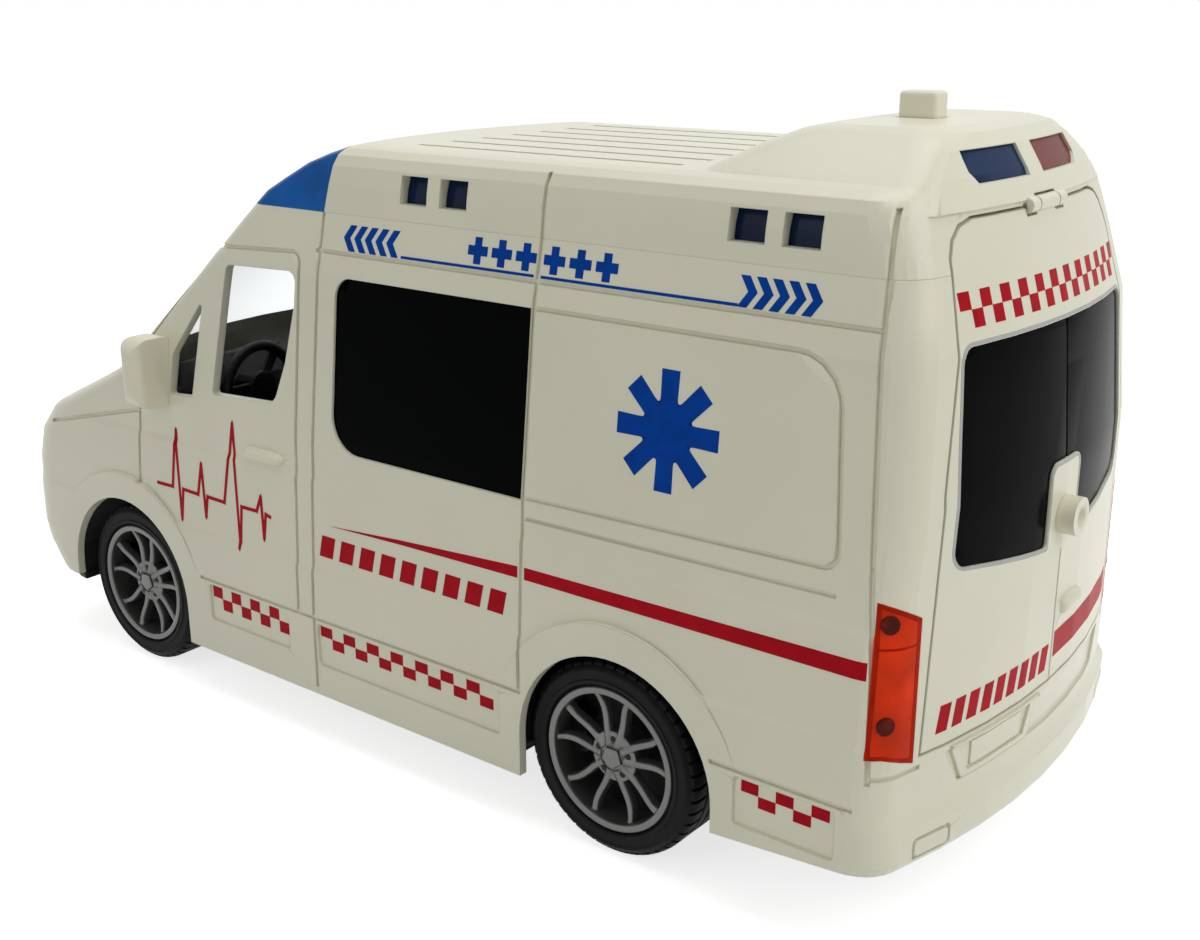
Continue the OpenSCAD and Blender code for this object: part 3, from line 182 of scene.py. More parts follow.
# %% [markdown]
# ## Finishes
# All the plastics share one recipe. A wide noise moves the colour a little, as uneven mould filling
# does; a fine noise breaks the gloss and gives a shallow grain; and the Bevel node rounds the shading
# of sharp edges by a third of a millimetre, as any moulded edge is. Every pattern reads Object
# coordinates, so it stays with the piece.

# %% Finish recipe
EDGE_ROUND = 0.35 * MM
EDGE_SAMPLES = 4
GRAIN_DEPTH = 0.05 * MM
CLOUD_DETAIL, GRAIN_DETAIL = 4, 3
CLOUD_LOW, CLOUD_HIGH = 0.35, 0.65
GLOSS_LOW, GLOSS_HIGH = 0.85, 1.15


def finish(name, colour, roughness, clouds=0.06, cloud_size=35, grain_size=0.5, grain=0.12,
           edge=EDGE_ROUND, **sockets):
    """A moulded finish; clouds is the share of colour that drifts, sizes are in mm."""
    material = bpy.data.materials.new(name)
    material.use_nodes = True
    tree = material.node_tree
    shader = tree.nodes["Principled BSDF"]
    coords = tree.nodes.new("ShaderNodeTexCoord").outputs["Object"]

    wide = tree.nodes.new("ShaderNodeTexNoise")
    wide.inputs["Scale"].default_value = 1 / (cloud_size * MM)
    wide.inputs["Detail"].default_value = CLOUD_DETAIL
    tree.links.new(coords, wide.inputs["Vector"])
    tint = tree.nodes.new("ShaderNodeValToRGB")
    tint.color_ramp.elements[0].position = CLOUD_LOW
    tint.color_ramp.elements[1].position = CLOUD_HIGH
    tint.color_ramp.elements[0].color = (*[c * (1 - clouds) for c in colour], 1)
    tint.color_ramp.elements[1].color = (*[min(1, c * (1 + clouds / 2)) for c in colour], 1)
    tree.links.new(wide.outputs["Fac"], tint.inputs["Fac"])
    tree.links.new(tint.outputs["Color"], shader.inputs["Base Color"])

    fine = tree.nodes.new("ShaderNodeTexNoise")
    fine.inputs["Scale"].default_value = 1 / (grain_size * MM)
    fine.inputs["Detail"].default_value = GRAIN_DETAIL
    tree.links.new(coords, fine.inputs["Vector"])
    gloss = tree.nodes.new("ShaderNodeMapRange")
    gloss.inputs["To Min"].default_value = roughness * GLOSS_LOW
    gloss.inputs["To Max"].default_value = min(1, roughness * GLOSS_HIGH)
    tree.links.new(fine.outputs["Fac"], gloss.inputs["Value"])
    tree.links.new(gloss.outputs["Result"], shader.inputs["Roughness"])

    bump = tree.nodes.new("ShaderNodeBump")
    bump.inputs["Strength"].default_value = grain
    bump.inputs["Distance"].default_value = GRAIN_DEPTH
    tree.links.new(fine.outputs["Fac"], bump.inputs["Height"])
    if edge:
        rounding = tree.nodes.new("ShaderNodeBevel")
        rounding.samples = EDGE_SAMPLES
        rounding.inputs["Radius"].default_value = edge
        tree.links.new(rounding.outputs["Normal"], bump.inputs["Normal"])
    tree.links.new(bump.outputs["Normal"], shader.inputs["Normal"])
    for socket, value in sockets.items():
        shader.inputs[socket.replace("_", " ")].default_value = value
    return material


# %% The van's finishes
IVORY = finish("ivory plastic", (0.78, 0.765, 0.61), 0.34, clouds=0.03)
CREAM = finish("cream plastic", (0.82, 0.79, 0.63), 0.36, clouds=0.03)
BLACK_GLOSS = finish("black window", (0.0012, 0.0016, 0.0016), 0.16, grain=0.03,
                     Specular_IOR_Level=0.012)
BLACK = finish("black plastic", (0.008, 0.008, 0.009), 0.5, Specular_IOR_Level=0.2)
DARK_GREY = finish("dash plastic", (0.014, 0.014, 0.016), 0.55, Specular_IOR_Level=0.25)
CLEAR = finish("clear screen", (0.93, 0.96, 0.97), 0.03, clouds=0.01, grain=0.0, edge=0,
               Transmission_Weight=1.0, IOR=1.2)
BLUE_LENS = finish("blue lens", (0.0, 0.13, 0.50), 0.12, clouds=0.35, cloud_size=18, grain=0.02,
                   Transmission_Weight=0.15, Specular_IOR_Level=0.03)
BLUE_STRIP = finish("dark blue strip", (0.004, 0.014, 0.05), 0.15, clouds=0.3, grain=0.02,
                    Specular_IOR_Level=0.1)
NAVY_LENS = finish("navy lens", (0.009, 0.03, 0.09), 0.2, clouds=0.2, grain=0.03, Specular_IOR_Level=0.06)
ROSE_LENS = finish("rose lens", (0.22, 0.045, 0.04), 0.2, clouds=0.2, grain=0.03, Specular_IOR_Level=0.06)
ORANGE_LAMP = finish("orange lamp", (0.86, 0.042, 0.002), 0.16, clouds=0.25, cloud_size=9, grain=0.03,
                     Transmission_Weight=0.1, Specular_IOR_Level=0.03)
# Darker red: painted shade along the tail lamps' edges and at their step
LAMP_EDGE_SHADE = finish("painted lamp edge shade", (0.47, 0.016, 0.002), 0.2, clouds=0.2, cloud_size=4, grain=0.03, edge=0,
                   Specular_IOR_Level=0.03)
LAMP_PEG = finish("lamp peg", (0.11, 0.008, 0.004), 0.4, clouds=0.5, cloud_size=2, Specular_IOR_Level=0.1)
HEADLAMP = finish("headlamp cover", (0.72, 0.76, 0.8), 0.06, clouds=0.05, grain=0.02,
                  Transmission_Weight=0.6, IOR=1.3)
RIM_GREY = finish("rim paint", (0.15, 0.152, 0.148), 0.3, clouds=0.08, grain=0.015, Metallic=0.65)
RUBBER = finish("tyre rubber", (0.006, 0.006, 0.0065), 0.6, clouds=0.3, cloud_size=8, grain=0.3,
                Specular_IOR_Level=0.12)
DISC_GREY = finish("brake disc", (0.014, 0.014, 0.015), 0.4, grain=0.02, Metallic=0.3,
                   Specular_IOR_Level=0.1)
STEEL = finish("bright steel", (0.55, 0.56, 0.57), 0.28, clouds=0.1, cloud_size=5, Metallic=1.0)
GREEN_BOARD = finish("circuit board", (0.02, 0.12, 0.04), 0.4, clouds=0.3, cloud_size=6)
DOME = finish("rubber dome", (0.5, 0.5, 0.46), 0.6)
DIODE = finish("clear diode", (0.75, 0.8, 0.85), 0.1, Transmission_Weight=0.7)
GEAR_WHITE = finish("white gear", (0.68, 0.68, 0.6), 0.45)
PRINT_RED = finish("red print", (0.46, 0.004, 0.014), 0.4, clouds=0.12, cloud_size=3, edge=0,
                   Specular_IOR_Level=0.05)
PRINT_BLUE = finish("blue print", (0.0, 0.055, 0.36), 0.4, clouds=0.12, cloud_size=3, edge=0,
                    Specular_IOR_Level=0.05)
# Grey: painted shade on the sloped inner edge of the tailgate window's recess
RECESS_SHADE = finish("painted recess shade", (0.42, 0.42, 0.41), 0.45, edge=0)
print("finishes:", len(bpy.data.materials))

# %% [markdown]
# ## Shells and lenses
# The frame's meshes are loose triangles, so their shading shows every facet. A copy whose points are
# merged can be shaded smoothly: edges sharper than a set angle stay crisp, and the Weighted Normal
# modifier lets the large faces rule the shading. The ivory shells have shallow creases along their
# sides, so a small angle keeps those. The button and the mirrors also get round edges, cut with a
# bevel, which only takes plastic away. Each result is a plain mesh that stands for its solid.

# %% Settling helpers
MERGE = 0.003 * MM
FLAT_ANGLE = math.radians(1)
BEVEL_ANGLE = math.radians(30)
BEVEL_STEPS = 3
ROUND_PROFILE = 0.5
SMOOTH_ANGLE = 32


def settle(piece):
    """Turn a piece and its modifiers into one plain mesh."""
    depsgraph = bpy.context.evaluated_depsgraph_get()
    mesh = bpy.data.meshes.new_from_object(piece.evaluated_get(depsgraph), preserve_all_data_layers=True,
                                           depsgraph=depsgraph)
    piece.modifiers.clear()
    old = piece.data
    piece.data = mesh
    bpy.data.meshes.remove(old)
    return piece


def new_piece(name, mesh, material):
    """A new object in the scene with one finish."""
    piece = bpy.data.objects.new(name, mesh)
    scene.collection.objects.link(piece)
    mesh.materials.clear()
    mesh.materials.append(material)
    return piece


def smooth(piece, angle=SMOOTH_ANGLE):
    """Shade smoothly, keep edges over the angle crisp and let large faces rule."""
    piece.data.shade_smooth()
    piece.data.set_sharp_from_angle(angle=math.radians(angle))
    even = piece.modifiers.new("even shading", "WEIGHTED_NORMAL")
    even.keep_sharp = True
    return settle(piece)


def body_of(node):
    """The moving body that a solid belongs to."""
    bodies = frame["record"]["behaviour"]["bodies"]
    return next(body for body, members in bodies.items() if node in members)


def place(piece, node, *stands_for):
    """The piece rides with a node's body and stands for the named nodes, which it hides."""
    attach(piece, body_of(node))
    if stands_for:
        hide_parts(*stands_for)
    return piece


def round_edges(shell, radius, above):
    """Bevel the sharp edges whose middle lies above a height; both values are in mm."""
    bmesh.ops.dissolve_limit(shell, angle_limit=FLAT_ANGLE, verts=shell.verts, edges=shell.edges)
    sharp = []
    for edge in shell.edges:
        height = (edge.verts[0].co.z + edge.verts[1].co.z) / 2
        if height > above * MM and len(edge.link_faces) == 2 and edge.calc_face_angle() > BEVEL_ANGLE:
            sharp.append(edge)
    bmesh.ops.bevel(shell, geom=sharp, offset=radius * MM, segments=BEVEL_STEPS, affect="EDGES",
                    profile=ROUND_PROFILE, clamp_overlap=True)


def soft_copy(node, material, angle=SMOOTH_ANGLE, bevel=None):
    """A smooth copy of a solid that takes its place; bevel gives a radius and the height it starts at."""
    mesh = cad[node].data.copy()
    shell = bmesh.new()
    shell.from_mesh(mesh)
    bmesh.ops.remove_doubles(shell, verts=shell.verts, dist=MERGE)
    if bevel:
        round_edges(shell, *bevel)
    shell.to_mesh(mesh)
    shell.free()
    piece = smooth(new_piece(node + "_skin", mesh, material), angle)
    return place(piece, node, node)


# %% Shells, windows, lenses and lamps
SKINS = {
    "body_shell": IVORY, "roof_shell": IVORY, "tailgate": IVORY,
    "tailgate_window": BLACK_GLOSS, "side_window_left": BLACK_GLOSS, "side_window_right": BLACK_GLOSS,
    "tailgate_knob": CREAM, "mirror_left": CREAM, "mirror_right": CREAM, "roof_button": CREAM,
    "windscreen": CLEAR, "front_lens": BLUE_LENS,
    "roof_strip_left": BLUE_STRIP, "roof_strip_right": BLUE_STRIP,
    "rear_lens_blue": NAVY_LENS, "rear_lens_red": ROSE_LENS,
    "tail_lamp_left": ORANGE_LAMP, "tail_lamp_right": ORANGE_LAMP,
    "headlamp_left": HEADLAMP, "headlamp_right": HEADLAMP, "grille": BLACK,
    "interior_tray": DARK_GREY, "steering_wheel": BLACK, "chassis_plate": BLACK,
    "battery_cover": BLACK, "body_screws": STEEL, "battery_screw": STEEL, "hinge_pin": STEEL,
}
# Radius of the round edges and the height above which they are cut, in mm
BEVELS = {"roof_button": (0.8, 129.0), "mirror_left": (1.3, 0.0), "mirror_right": (1.3, 0.0)}
CREASE_ANGLE = 14.5
for node, material in SKINS.items():
    crisp = CREASE_ANGLE if material is IVORY else SMOOTH_ANGLE
    soft_copy(node, material, angle=crisp, bevel=BEVELS.get(node))

# %% [markdown]
# ## Inner pieces
# The drive, the sound board and the cells hide inside the shells. They could be dressed like the rest,
# but nobody sees them closely, so their solids stay as they are and only take a finish. The rubber dome
# below the roof button gets a smooth copy with a mesh of its own.

# %% Inner pieces
INNER = {
    "sound_board": GREEN_BOARD, "diodes": DIODE, "speaker": DISC_GREY,
    "button_cells": STEEL, "motor_screws": STEEL, "motor_case_left": BLACK, "motor_case_right": BLACK,
    "front_axle": STEEL, "rear_axle": STEEL, "axle_gear": GEAR_WHITE, "idler_gear": GEAR_WHITE,
    "flywheel": STEEL,
}
for node, material in INNER.items():
    cad[node].data.materials.clear()
    cad[node].data.materials.append(material)
low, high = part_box("switch_dome")
dome = soft_copy("switch_dome", DOME)
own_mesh(dome)
print("inner pieces:", len(INNER), "and a dome that folds down with the button")

# %% [markdown]
# ## Geometry Nodes for what repeats
# Two node trees do the repeating work. The first makes a row of printed marks and lays it on a shell:
# copies of a flat mark stand along a line, every second one may step aside, and a Raycast moves each
# point onto the shell's surface, where the film gets its thickness. The second turns copies about an
# axle, for spokes, lug nuts and tread blocks.

# %% Tree helpers
def new_tree(name, sockets):
    """A Geometry Nodes tree with a geometry input and output and the named inputs."""
    tree = bpy.data.node_groups.new(name, "GeometryNodeTree")
    tree.interface.new_socket("Geometry", in_out="INPUT", socket_type="NodeSocketGeometry")
    for label, kind in sockets.items():
        tree.interface.new_socket(label, in_out="INPUT", socket_type="NodeSocket" + kind)
    tree.interface.new_socket("Geometry", in_out="OUTPUT", socket_type="NodeSocketGeometry")
    return tree, tree.nodes.new("NodeGroupInput").outputs, tree.nodes.new("NodeGroupOutput").inputs


def add(tree, kind, links=None, **settings):
    """Add a node, set its properties and link or set its inputs by name or number."""
    node = tree.nodes.new(kind)
    for key, value in settings.items():
        setattr(node, key, value)
    for key, value in (links or {}).items():
        if isinstance(value, bpy.types.NodeSocket):
            tree.links.new(value, node.inputs[key])
        else:
            node.inputs[key].default_value = value
    return node.outputs


def use_tree(piece, tree, **values):
    """Put the tree on a piece; its inputs are set by their identifiers."""
    modifier = piece.modifiers.new(tree.name, "NODES")
    modifier.node_group = tree
    for item in tree.interface.items_tree:
        if item.in_out == "INPUT" and item.name in values:
            modifier[item.identifier] = values[item.name]
    return piece


# %% Tree: a row of marks printed on a shell
RAY_LENGTH = 200 * MM
WELD = 0.001 * MM
row_tree, given, result = new_tree("row of prints", {
    "Count": "Int", "Step": "Vector", "Stagger": "Vector", "Shell": "Object", "Towards": "Vector",
    "Film": "Float", "Detail": "Int", "Finish": "Material"})
line = add(row_tree, "GeometryNodeMeshLine", {"Count": given["Count"], "Offset": given["Step"]},
           mode="OFFSET")
index = add(row_tree, "GeometryNodeInputIndex")
odd = add(row_tree, "ShaderNodeMath", {0: index[0], 1: 2.0}, operation="MODULO")
aside = add(row_tree, "ShaderNodeVectorMath", {0: given["Stagger"], "Scale": odd[0]}, operation="SCALE")
line = add(row_tree, "GeometryNodeSetPosition", {"Geometry": line[0], "Offset": aside[0]})
marks = add(row_tree, "GeometryNodeInstanceOnPoints", {"Points": line[0], "Instance": given["Geometry"]})
marks = add(row_tree, "GeometryNodeRealizeInstances", {"Geometry": marks[0]})
marks = add(row_tree, "GeometryNodeSubdivideMesh", {"Mesh": marks[0], "Level": given["Detail"]})
shell = add(row_tree, "GeometryNodeObjectInfo", {"Object": given["Shell"]}, transform_space="ORIGINAL")
hit = add(row_tree, "GeometryNodeRaycast", {"Target Geometry": shell["Geometry"],
                                            "Ray Direction": given["Towards"], "Ray Length": RAY_LENGTH})
missed = add(row_tree, "FunctionNodeBooleanMath", {0: hit["Is Hit"]}, operation="NOT")
outward = add(row_tree, "ShaderNodeVectorMath", {0: given["Towards"], "Scale": -1.0}, operation="SCALE")
under = add(row_tree, "GeometryNodeSetPosition", {"Geometry": marks[0], "Position": hit["Hit Position"]})
under = add(row_tree, "GeometryNodeDeleteGeometry", {"Geometry": under[0], "Selection": missed[0]})
back = add(row_tree, "GeometryNodeFlipFaces", {"Mesh": under[0]})
film = add(row_tree, "GeometryNodeExtrudeMesh", {"Mesh": under[0], "Offset": outward[0],
                                                 "Offset Scale": given["Film"], "Individual": False})
closed = row_tree.nodes.new("GeometryNodeJoinGeometry")
row_tree.links.new(back[0], closed.inputs[0])
row_tree.links.new(film["Mesh"], closed.inputs[0])
closed = add(row_tree, "GeometryNodeMergeByDistance", {"Geometry": closed.outputs[0], "Distance": WELD})
done = add(row_tree, "GeometryNodeRealizeInstances", {"Geometry": closed[0]})
done = add(row_tree, "GeometryNodeSetMaterial", {"Geometry": done[0], "Material": given["Finish"]})
row_tree.links.new(done[0], result[0])

# %% Tree: copies turned about an axle
ring_tree, given, result = new_tree("copies about an axle", {
    "Count": "Int", "Centre": "Vector", "Finish": "Material"})
spot = add(ring_tree, "GeometryNodeMeshLine", {"Count": given["Count"], "Start Location": given["Centre"],
                                               "Offset": (0, 0, 0)}, mode="OFFSET")
index = add(ring_tree, "GeometryNodeInputIndex")
share = add(ring_tree, "ShaderNodeMath", {0: index[0], 1: given["Count"]}, operation="DIVIDE")
angle = add(ring_tree, "ShaderNodeMath", {0: share[0], 1: math.tau}, operation="MULTIPLY")
about = add(ring_tree, "ShaderNodeCombineXYZ", {"Y": angle[0]})
copies = add(ring_tree, "GeometryNodeInstanceOnPoints", {"Points": spot[0], "Instance": given["Geometry"],
                                                         "Rotation": about[0]})
done = add(ring_tree, "GeometryNodeRealizeInstances", {"Geometry": copies[0]})
done = add(ring_tree, "GeometryNodeSetMaterial", {"Geometry": done[0], "Material": given["Finish"]})
ring_tree.links.new(done[0], result[0])
print("trees:", row_tree.name, "and", ring_tree.name)

# %% [markdown]
# ## Prints on the sides and the tailgate
# Pad-printed ink is a film a few hundredths of a millimetre thick. Each mark is drawn flat, in
# millimetres, as x and z on a side or y and z on the rear, a little outside the shell; the row tree
# then lays it on. Ink stops at the panel grooves, so long marks are drawn in two pieces.

# %% Printing helpers
FILM = 0.05 * MM
SIDE, REAR, CORNER = "side", "rear", "corner"
# Places of the drawing planes outside the shell, in mm: y of the sides, x of the rear, a rear corner
# and how far its plane stands off
SIDE_Y, REAR_X = 90, -180
CORNER_X, CORNER_Y, CORNER_OFF = -114.6, 45.85, 20


def drawing_plane(face, side):
    """Where a face's marks are drawn: the plane's origin, the direction of u and the way to the shell."""
    if face == SIDE:
        return Vector((0, side * SIDE_Y, 0)), Vector((1, 0, 0)), Vector((0, -side, 0))
    if face == REAR:
        return Vector((REAR_X, 0, 0)), Vector((0, 1, 0)), Vector((1, 0, 0))
    inward = Vector((1, -side, 0)).normalized()
    origin = Vector((CORNER_X, side * CORNER_Y, 0)) - CORNER_OFF * inward
    return origin, Vector((1, side, 0)).normalized(), inward


def ink(name, outlines, material, face=SIDE, side=LEFT, shell="body_shell", count=1, step=(0, 0, 0),
        stagger=(0, 0, 0), detail=2, film=FILM):
    """Flat outlines in mm of u and z, laid on a shell as a row of marks."""
    origin, along, inward = drawing_plane(face, side)
    points, faces = [], []
    for outline in outlines:
        faces.append(list(range(len(points), len(points) + len(outline))))
        points += [(origin + u * along + Vector((0, 0, z))) * MM for u, z in outline]
    mesh = bpy.data.meshes.new(name)
    mesh.from_pydata(points, [], faces)
    return use_tree(new_piece(name, mesh, material), row_tree, Count=count,
                    Step=tuple(c * MM for c in step), Stagger=tuple(c * MM for c in stagger),
                    Shell=cad[shell], Towards=tuple(inward), Film=film, Detail=detail, Finish=material)


def box_outline(u0, z0, u1, z1, slant=0.0):
    """A rectangle whose upper edge is moved along by slant."""
    return [(u0, z0), (u1, z0), (u1 + slant, z1), (u0 + slant, z1)]


def joined(pieces, name, body):
    """Settle several pieces into one mesh that rides on a body."""
    whole = bmesh.new()
    material = pieces[0].data.materials[0]
    for piece in pieces:
        settle(piece)
        whole.from_mesh(piece.data)
        bpy.data.objects.remove(piece)
    bmesh.ops.recalc_face_normals(whole, faces=whole.faces)
    mesh = bpy.data.meshes.new(name)
    whole.to_mesh(mesh)
    whole.free()
    piece = new_piece(name, mesh, material)
    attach(piece, body)
    return piece


# %% Checkers, bars and stripes
# Rows of checkers on the sill panels: first x, columns, cell width, cell height, upper edge, in mm.
CHECKERS = [(48.0, 8, 3.15, 2.6, 26.7), (12.8, 14, 3.43, 2.25, 26.4), (-90.6, 5, 3.35, 2.1, 26.5)]
# Stripe along the side: a blade ahead of the middle groove, a bar behind it and its end round the corner.
BLADE = [(8.8, 48.9), (-11.1, 50.4), (-29.5, 51.5), (-41.2, 52.2), (-41.2, 50.0), (-29.5, 49.8),
         (-11.1, 49.5)]
BAR = [(-42.8, 50.0), (-42.8, 52.3), (-102.0, 53.0), (-102.0, 50.1)]
BAR_END = [(-102.0, 50.1), (-102.0, 53.0), (-111.8, 53.1), (-111.8, 50.1)]
# A row of slanted bars below the blade
BAR_ROW_X, BAR_ROW_Z, BAR_PITCH, BAR_COUNT = 8.2, 42.0, 5.75, 9
BAR_W, BAR_H, BAR_SLANT = 3.9, 4.5, -0.9


def side_reds(side):
    """The red marks of one side, each still with its tree."""
    name = HANDS[side]
    inked = []
    for k, (x, columns, w, h, top) in enumerate(CHECKERS):
        inked.append(ink(f"checkers_{name}_{k}", [box_outline(x - w, top - h, x, top)], PRINT_RED,
                         side=side, count=columns, step=(-w, 0, 0), stagger=(0, 0, -h)))
    inked.append(ink(f"blade_{name}", [BLADE], PRINT_RED, side=side, detail=3))
    inked.append(ink(f"bar_{name}", [BAR], PRINT_RED, side=side, detail=4))
    inked.append(ink(f"bar_end_{name}", [BAR_END], PRINT_RED, side=side, detail=4))
    inked.append(ink(f"bars_{name}",
                     [box_outline(BAR_ROW_X, BAR_ROW_Z, BAR_ROW_X + BAR_W, BAR_ROW_Z + BAR_H, BAR_SLANT)],
                     PRINT_RED, side=side, count=BAR_COUNT, step=(-BAR_PITCH, 0, 0)))
    return inked


# %% Pulse line on the cab door
# A line through x and z points in mm.
PULSE_W, PULSE_FILM = 0.75, 2 * FILM
PULSE = [(66.0, 46.9), (60.3, 47.0), (58.7, 60.2), (57.4, 40.0), (56.6, 47.1), (51.3, 47.0), (49.9, 54.2),
         (48.8, 42.3), (48.1, 47.1), (42.3, 47.0), (39.1, 65.0), (37.3, 37.8), (36.6, 47.2), (31.6, 47.3),
         (30.2, 50.8), (29.4, 41.5), (28.7, 47.2), (27.0, 46.8)]


def band(points, width, tip=0.6, stretch=1.2, longest=4.0):
    """A stroke of even width along a polyline, in short quads, with a pointed piece at each corner."""
    path = [Vector(p) for p in points]
    along = [(b - a).normalized() for a, b in zip(path, path[1:])]
    half = [Vector((-d.y, d.x)) * width / 2 for d in along]
    starts, ends, corners = [(path[0] + half[0], path[0] - half[0])], [], []
    for p, before, after, n0, n1 in zip(path[1:], along, along[1:], half, half[1:]):
        turn = 1 if before.cross(after) > 0 else -1
        out = (-turn * (n0 + n1)).normalized()
        inner = p - out * min((width / 2) ** 2 / abs(out.dot(n0)), longest)
        outer0, outer1 = p - turn * n0, p - turn * n1
        ends.append((inner, outer0) if turn > 0 else (outer0, inner))
        starts.append((inner, outer1) if turn > 0 else (outer1, inner))
        corners.append([tuple(outer0), tuple(p + out * tip), tuple(outer1), tuple(inner)])
    ends.append((path[-1] + half[-1], path[-1] - half[-1]))
    quads = []
    for (a, b), (c, d) in zip(starts, ends):
        count = max(1, round((c - a).length / stretch))
        for s, t in ((k / count, (k + 1) / count) for k in range(count)):
            quads.append([tuple(p) for p in (a.lerp(c, s), a.lerp(c, t), b.lerp(d, t), b.lerp(d, s))])
    return quads + corners


# %% Blue prints: line, chevrons, small crosses and rosette
BLUE_LINE_Z, BLUE_LINE_H = 103.95, 0.5
BLUE_LINE_RUNS = [(-8.6, -41.2), (-42.8, -83.2)]
CHEVRON_Z, CHEVRON_H, CHEVRON_DEPTH, CHEVRON_THICK = 103.95, 4.9, 1.7, 1.75
CHEVRON_PITCH, CHEVRON_COUNT = 2.9, 5
FRONT_CHEVRON_X, REAR_CHEVRON_X = 7.2, -98.1
CROSS_STARTS, CROSS_Z, CROSS_COUNT = (-27.6, -45.4), 107.2, 3
CROSS_R, CROSS_ARM, CROSS_PITCH = 2.35, 0.85, 5.7
ROSETTE_X, ROSETTE_Z, ROSETTE_R = -72.0, 82.3, 10.2
ROSETTE_ARM, ROSETTE_NOTCH, ROSETTE_ARMS = 1.8, 4.4, 8


def chevron(tip, ahead):
    """An arrow head; ahead is 1 where it points forwards."""
    low, mid, top = CHEVRON_Z, CHEVRON_Z + CHEVRON_H / 2, CHEVRON_Z + CHEVRON_H
    back, thick = ahead * CHEVRON_DEPTH, ahead * CHEVRON_THICK
    return [[(tip, mid), (tip - back, top), (tip - back - thick, top), (tip - thick, mid)],
            [(tip, mid), (tip - thick, mid), (tip - back - thick, low), (tip - back, low)]]


def plus_sign(x, z, r, arm):
    """A cross of three boxes; r is its reach and arm half the width of an arm."""
    return [box_outline(x - r, z - arm, x + r, z + arm), box_outline(x - arm, z + arm, x + arm, z + r),
            box_outline(x - arm, z - r, x + arm, z - arm)]


def side_blues(side):
    """The blue marks of one side, each still with its tree."""
    name = HANDS[side]
    inked = []
    for k, (x0, x1) in enumerate(BLUE_LINE_RUNS):
        inked.append(ink(f"line_{name}_{k}", [box_outline(x0, BLUE_LINE_Z, x1, BLUE_LINE_Z + BLUE_LINE_H)],
                         PRINT_BLUE, side=side, detail=4))
    for label, tip, ahead in (("front", FRONT_CHEVRON_X, 1), ("rear", REAR_CHEVRON_X, -1)):
        inked.append(ink(f"chevrons_{label}_{name}", chevron(tip, ahead), PRINT_BLUE, side=side,
                         count=CHEVRON_COUNT, step=(-ahead * CHEVRON_PITCH, 0, 0), detail=1))
    for k, x in enumerate(CROSS_STARTS):
        inked.append(ink(f"crosses_{name}_{k}", plus_sign(x, CROSS_Z, CROSS_R, CROSS_ARM), PRINT_BLUE,
                         side=side, count=CROSS_COUNT, step=(-CROSS_PITCH, 0, 0)))
    half_pitch = math.pi / ROSETTE_ARMS
    arm = [(-ROSETTE_ARM, ROSETTE_R), (ROSETTE_ARM, ROSETTE_R),
           (ROSETTE_NOTCH * math.sin(half_pitch), ROSETTE_NOTCH * math.cos(half_pitch))]
    outline = []
    for k in range(ROSETTE_ARMS):
        c, s = math.cos(k * math.tau / ROSETTE_ARMS), math.sin(k * math.tau / ROSETTE_ARMS)
        outline += [(ROSETTE_X + c * u + s * v, ROSETTE_Z - s * u + c * v) for u, v in arm]
    inked.append(ink(f"rosette_{name}", [outline], PRINT_BLUE, side=side, detail=3))
    return inked


# %% Lay the side prints
for side, name in HANDS.items():
    pulse = ink(f"pulse_{name}", band(PULSE, PULSE_W), PRINT_RED, side=side, film=PULSE_FILM)
    red = joined(side_reds(side) + [pulse], f"red_print_{name}", "vehicle")
    blue = joined(side_blues(side), f"blue_print_{name}", "vehicle")
    print(name, "prints:", len(red.data.polygons), "red and", len(blue.data.polygons), "blue faces")

# %% Prints on the tailgate
GATE_CHECKER_Y, GATE_CHECKER_TOP, GATE_CELL, GATE_COLUMNS = 31.0, 108.0, 2.7, 23
GATE_BAR_Y, GATE_BAR_Z, GATE_BAR_PITCH, GATE_BAR_COUNT = 35.6, 38.2, 3.85, 9
GATE_BAR_W, GATE_BAR_H = 2.6, 4.7
GATE_STRIPE = (-1.0, 39.6, -37.0, 44.4)
gate_reds = [
    ink("gate_checkers", [box_outline(GATE_CHECKER_Y - GATE_CELL, GATE_CHECKER_TOP - GATE_CELL,
                                      GATE_CHECKER_Y, GATE_CHECKER_TOP)], PRINT_RED, REAR,
        shell="tailgate", count=GATE_COLUMNS, step=(0, -GATE_CELL, 0), stagger=(0, 0, -GATE_CELL)),
    ink("gate_bars", [box_outline(GATE_BAR_Y - GATE_BAR_W, GATE_BAR_Z, GATE_BAR_Y, GATE_BAR_Z + GATE_BAR_H,
                                  BAR_SLANT)], PRINT_RED, REAR, shell="tailgate", count=GATE_BAR_COUNT,
        step=(0, -GATE_BAR_PITCH, 0)),
    ink("gate_stripe", [box_outline(*GATE_STRIPE)], PRINT_RED, REAR, shell="tailgate", detail=5),
]
gate_print = joined(gate_reds, "red_print_tailgate", "tailgate")
print("tailgate print:", len(gate_print.data.polygons), "faces")

# %% [markdown]
# ## Painted shade round the tailgate window
# A narrow grey band runs round the tailgate's window, just outside the opening: painted shade where the
# sloped inner edge of the window's recess turns from the light. A swept curve could make it, but it has
# to hug a bowed gate, so it is a flat band that the row tree lays on, as a print is. Half of its path is
# drawn, with a radius at each corner, and the other half is its mirror image.

# %% Painted shade round the tailgate window
RECESS_SHADE_W = 0.55
# The path from the middle of the upper edge to the middle of the knob's tab: y, z and corner radius in mm.
RECESS_SHADE_PATH = [(0.0, 100.4, 0), (32.3, 100.4, 3.0), (34.5, 65.8, 3.6), (14.2, 62.6, 0), (5.8, 61.6, 0.4),
             (5.8, 76.0, 2.0), (0.0, 76.0, 0)]


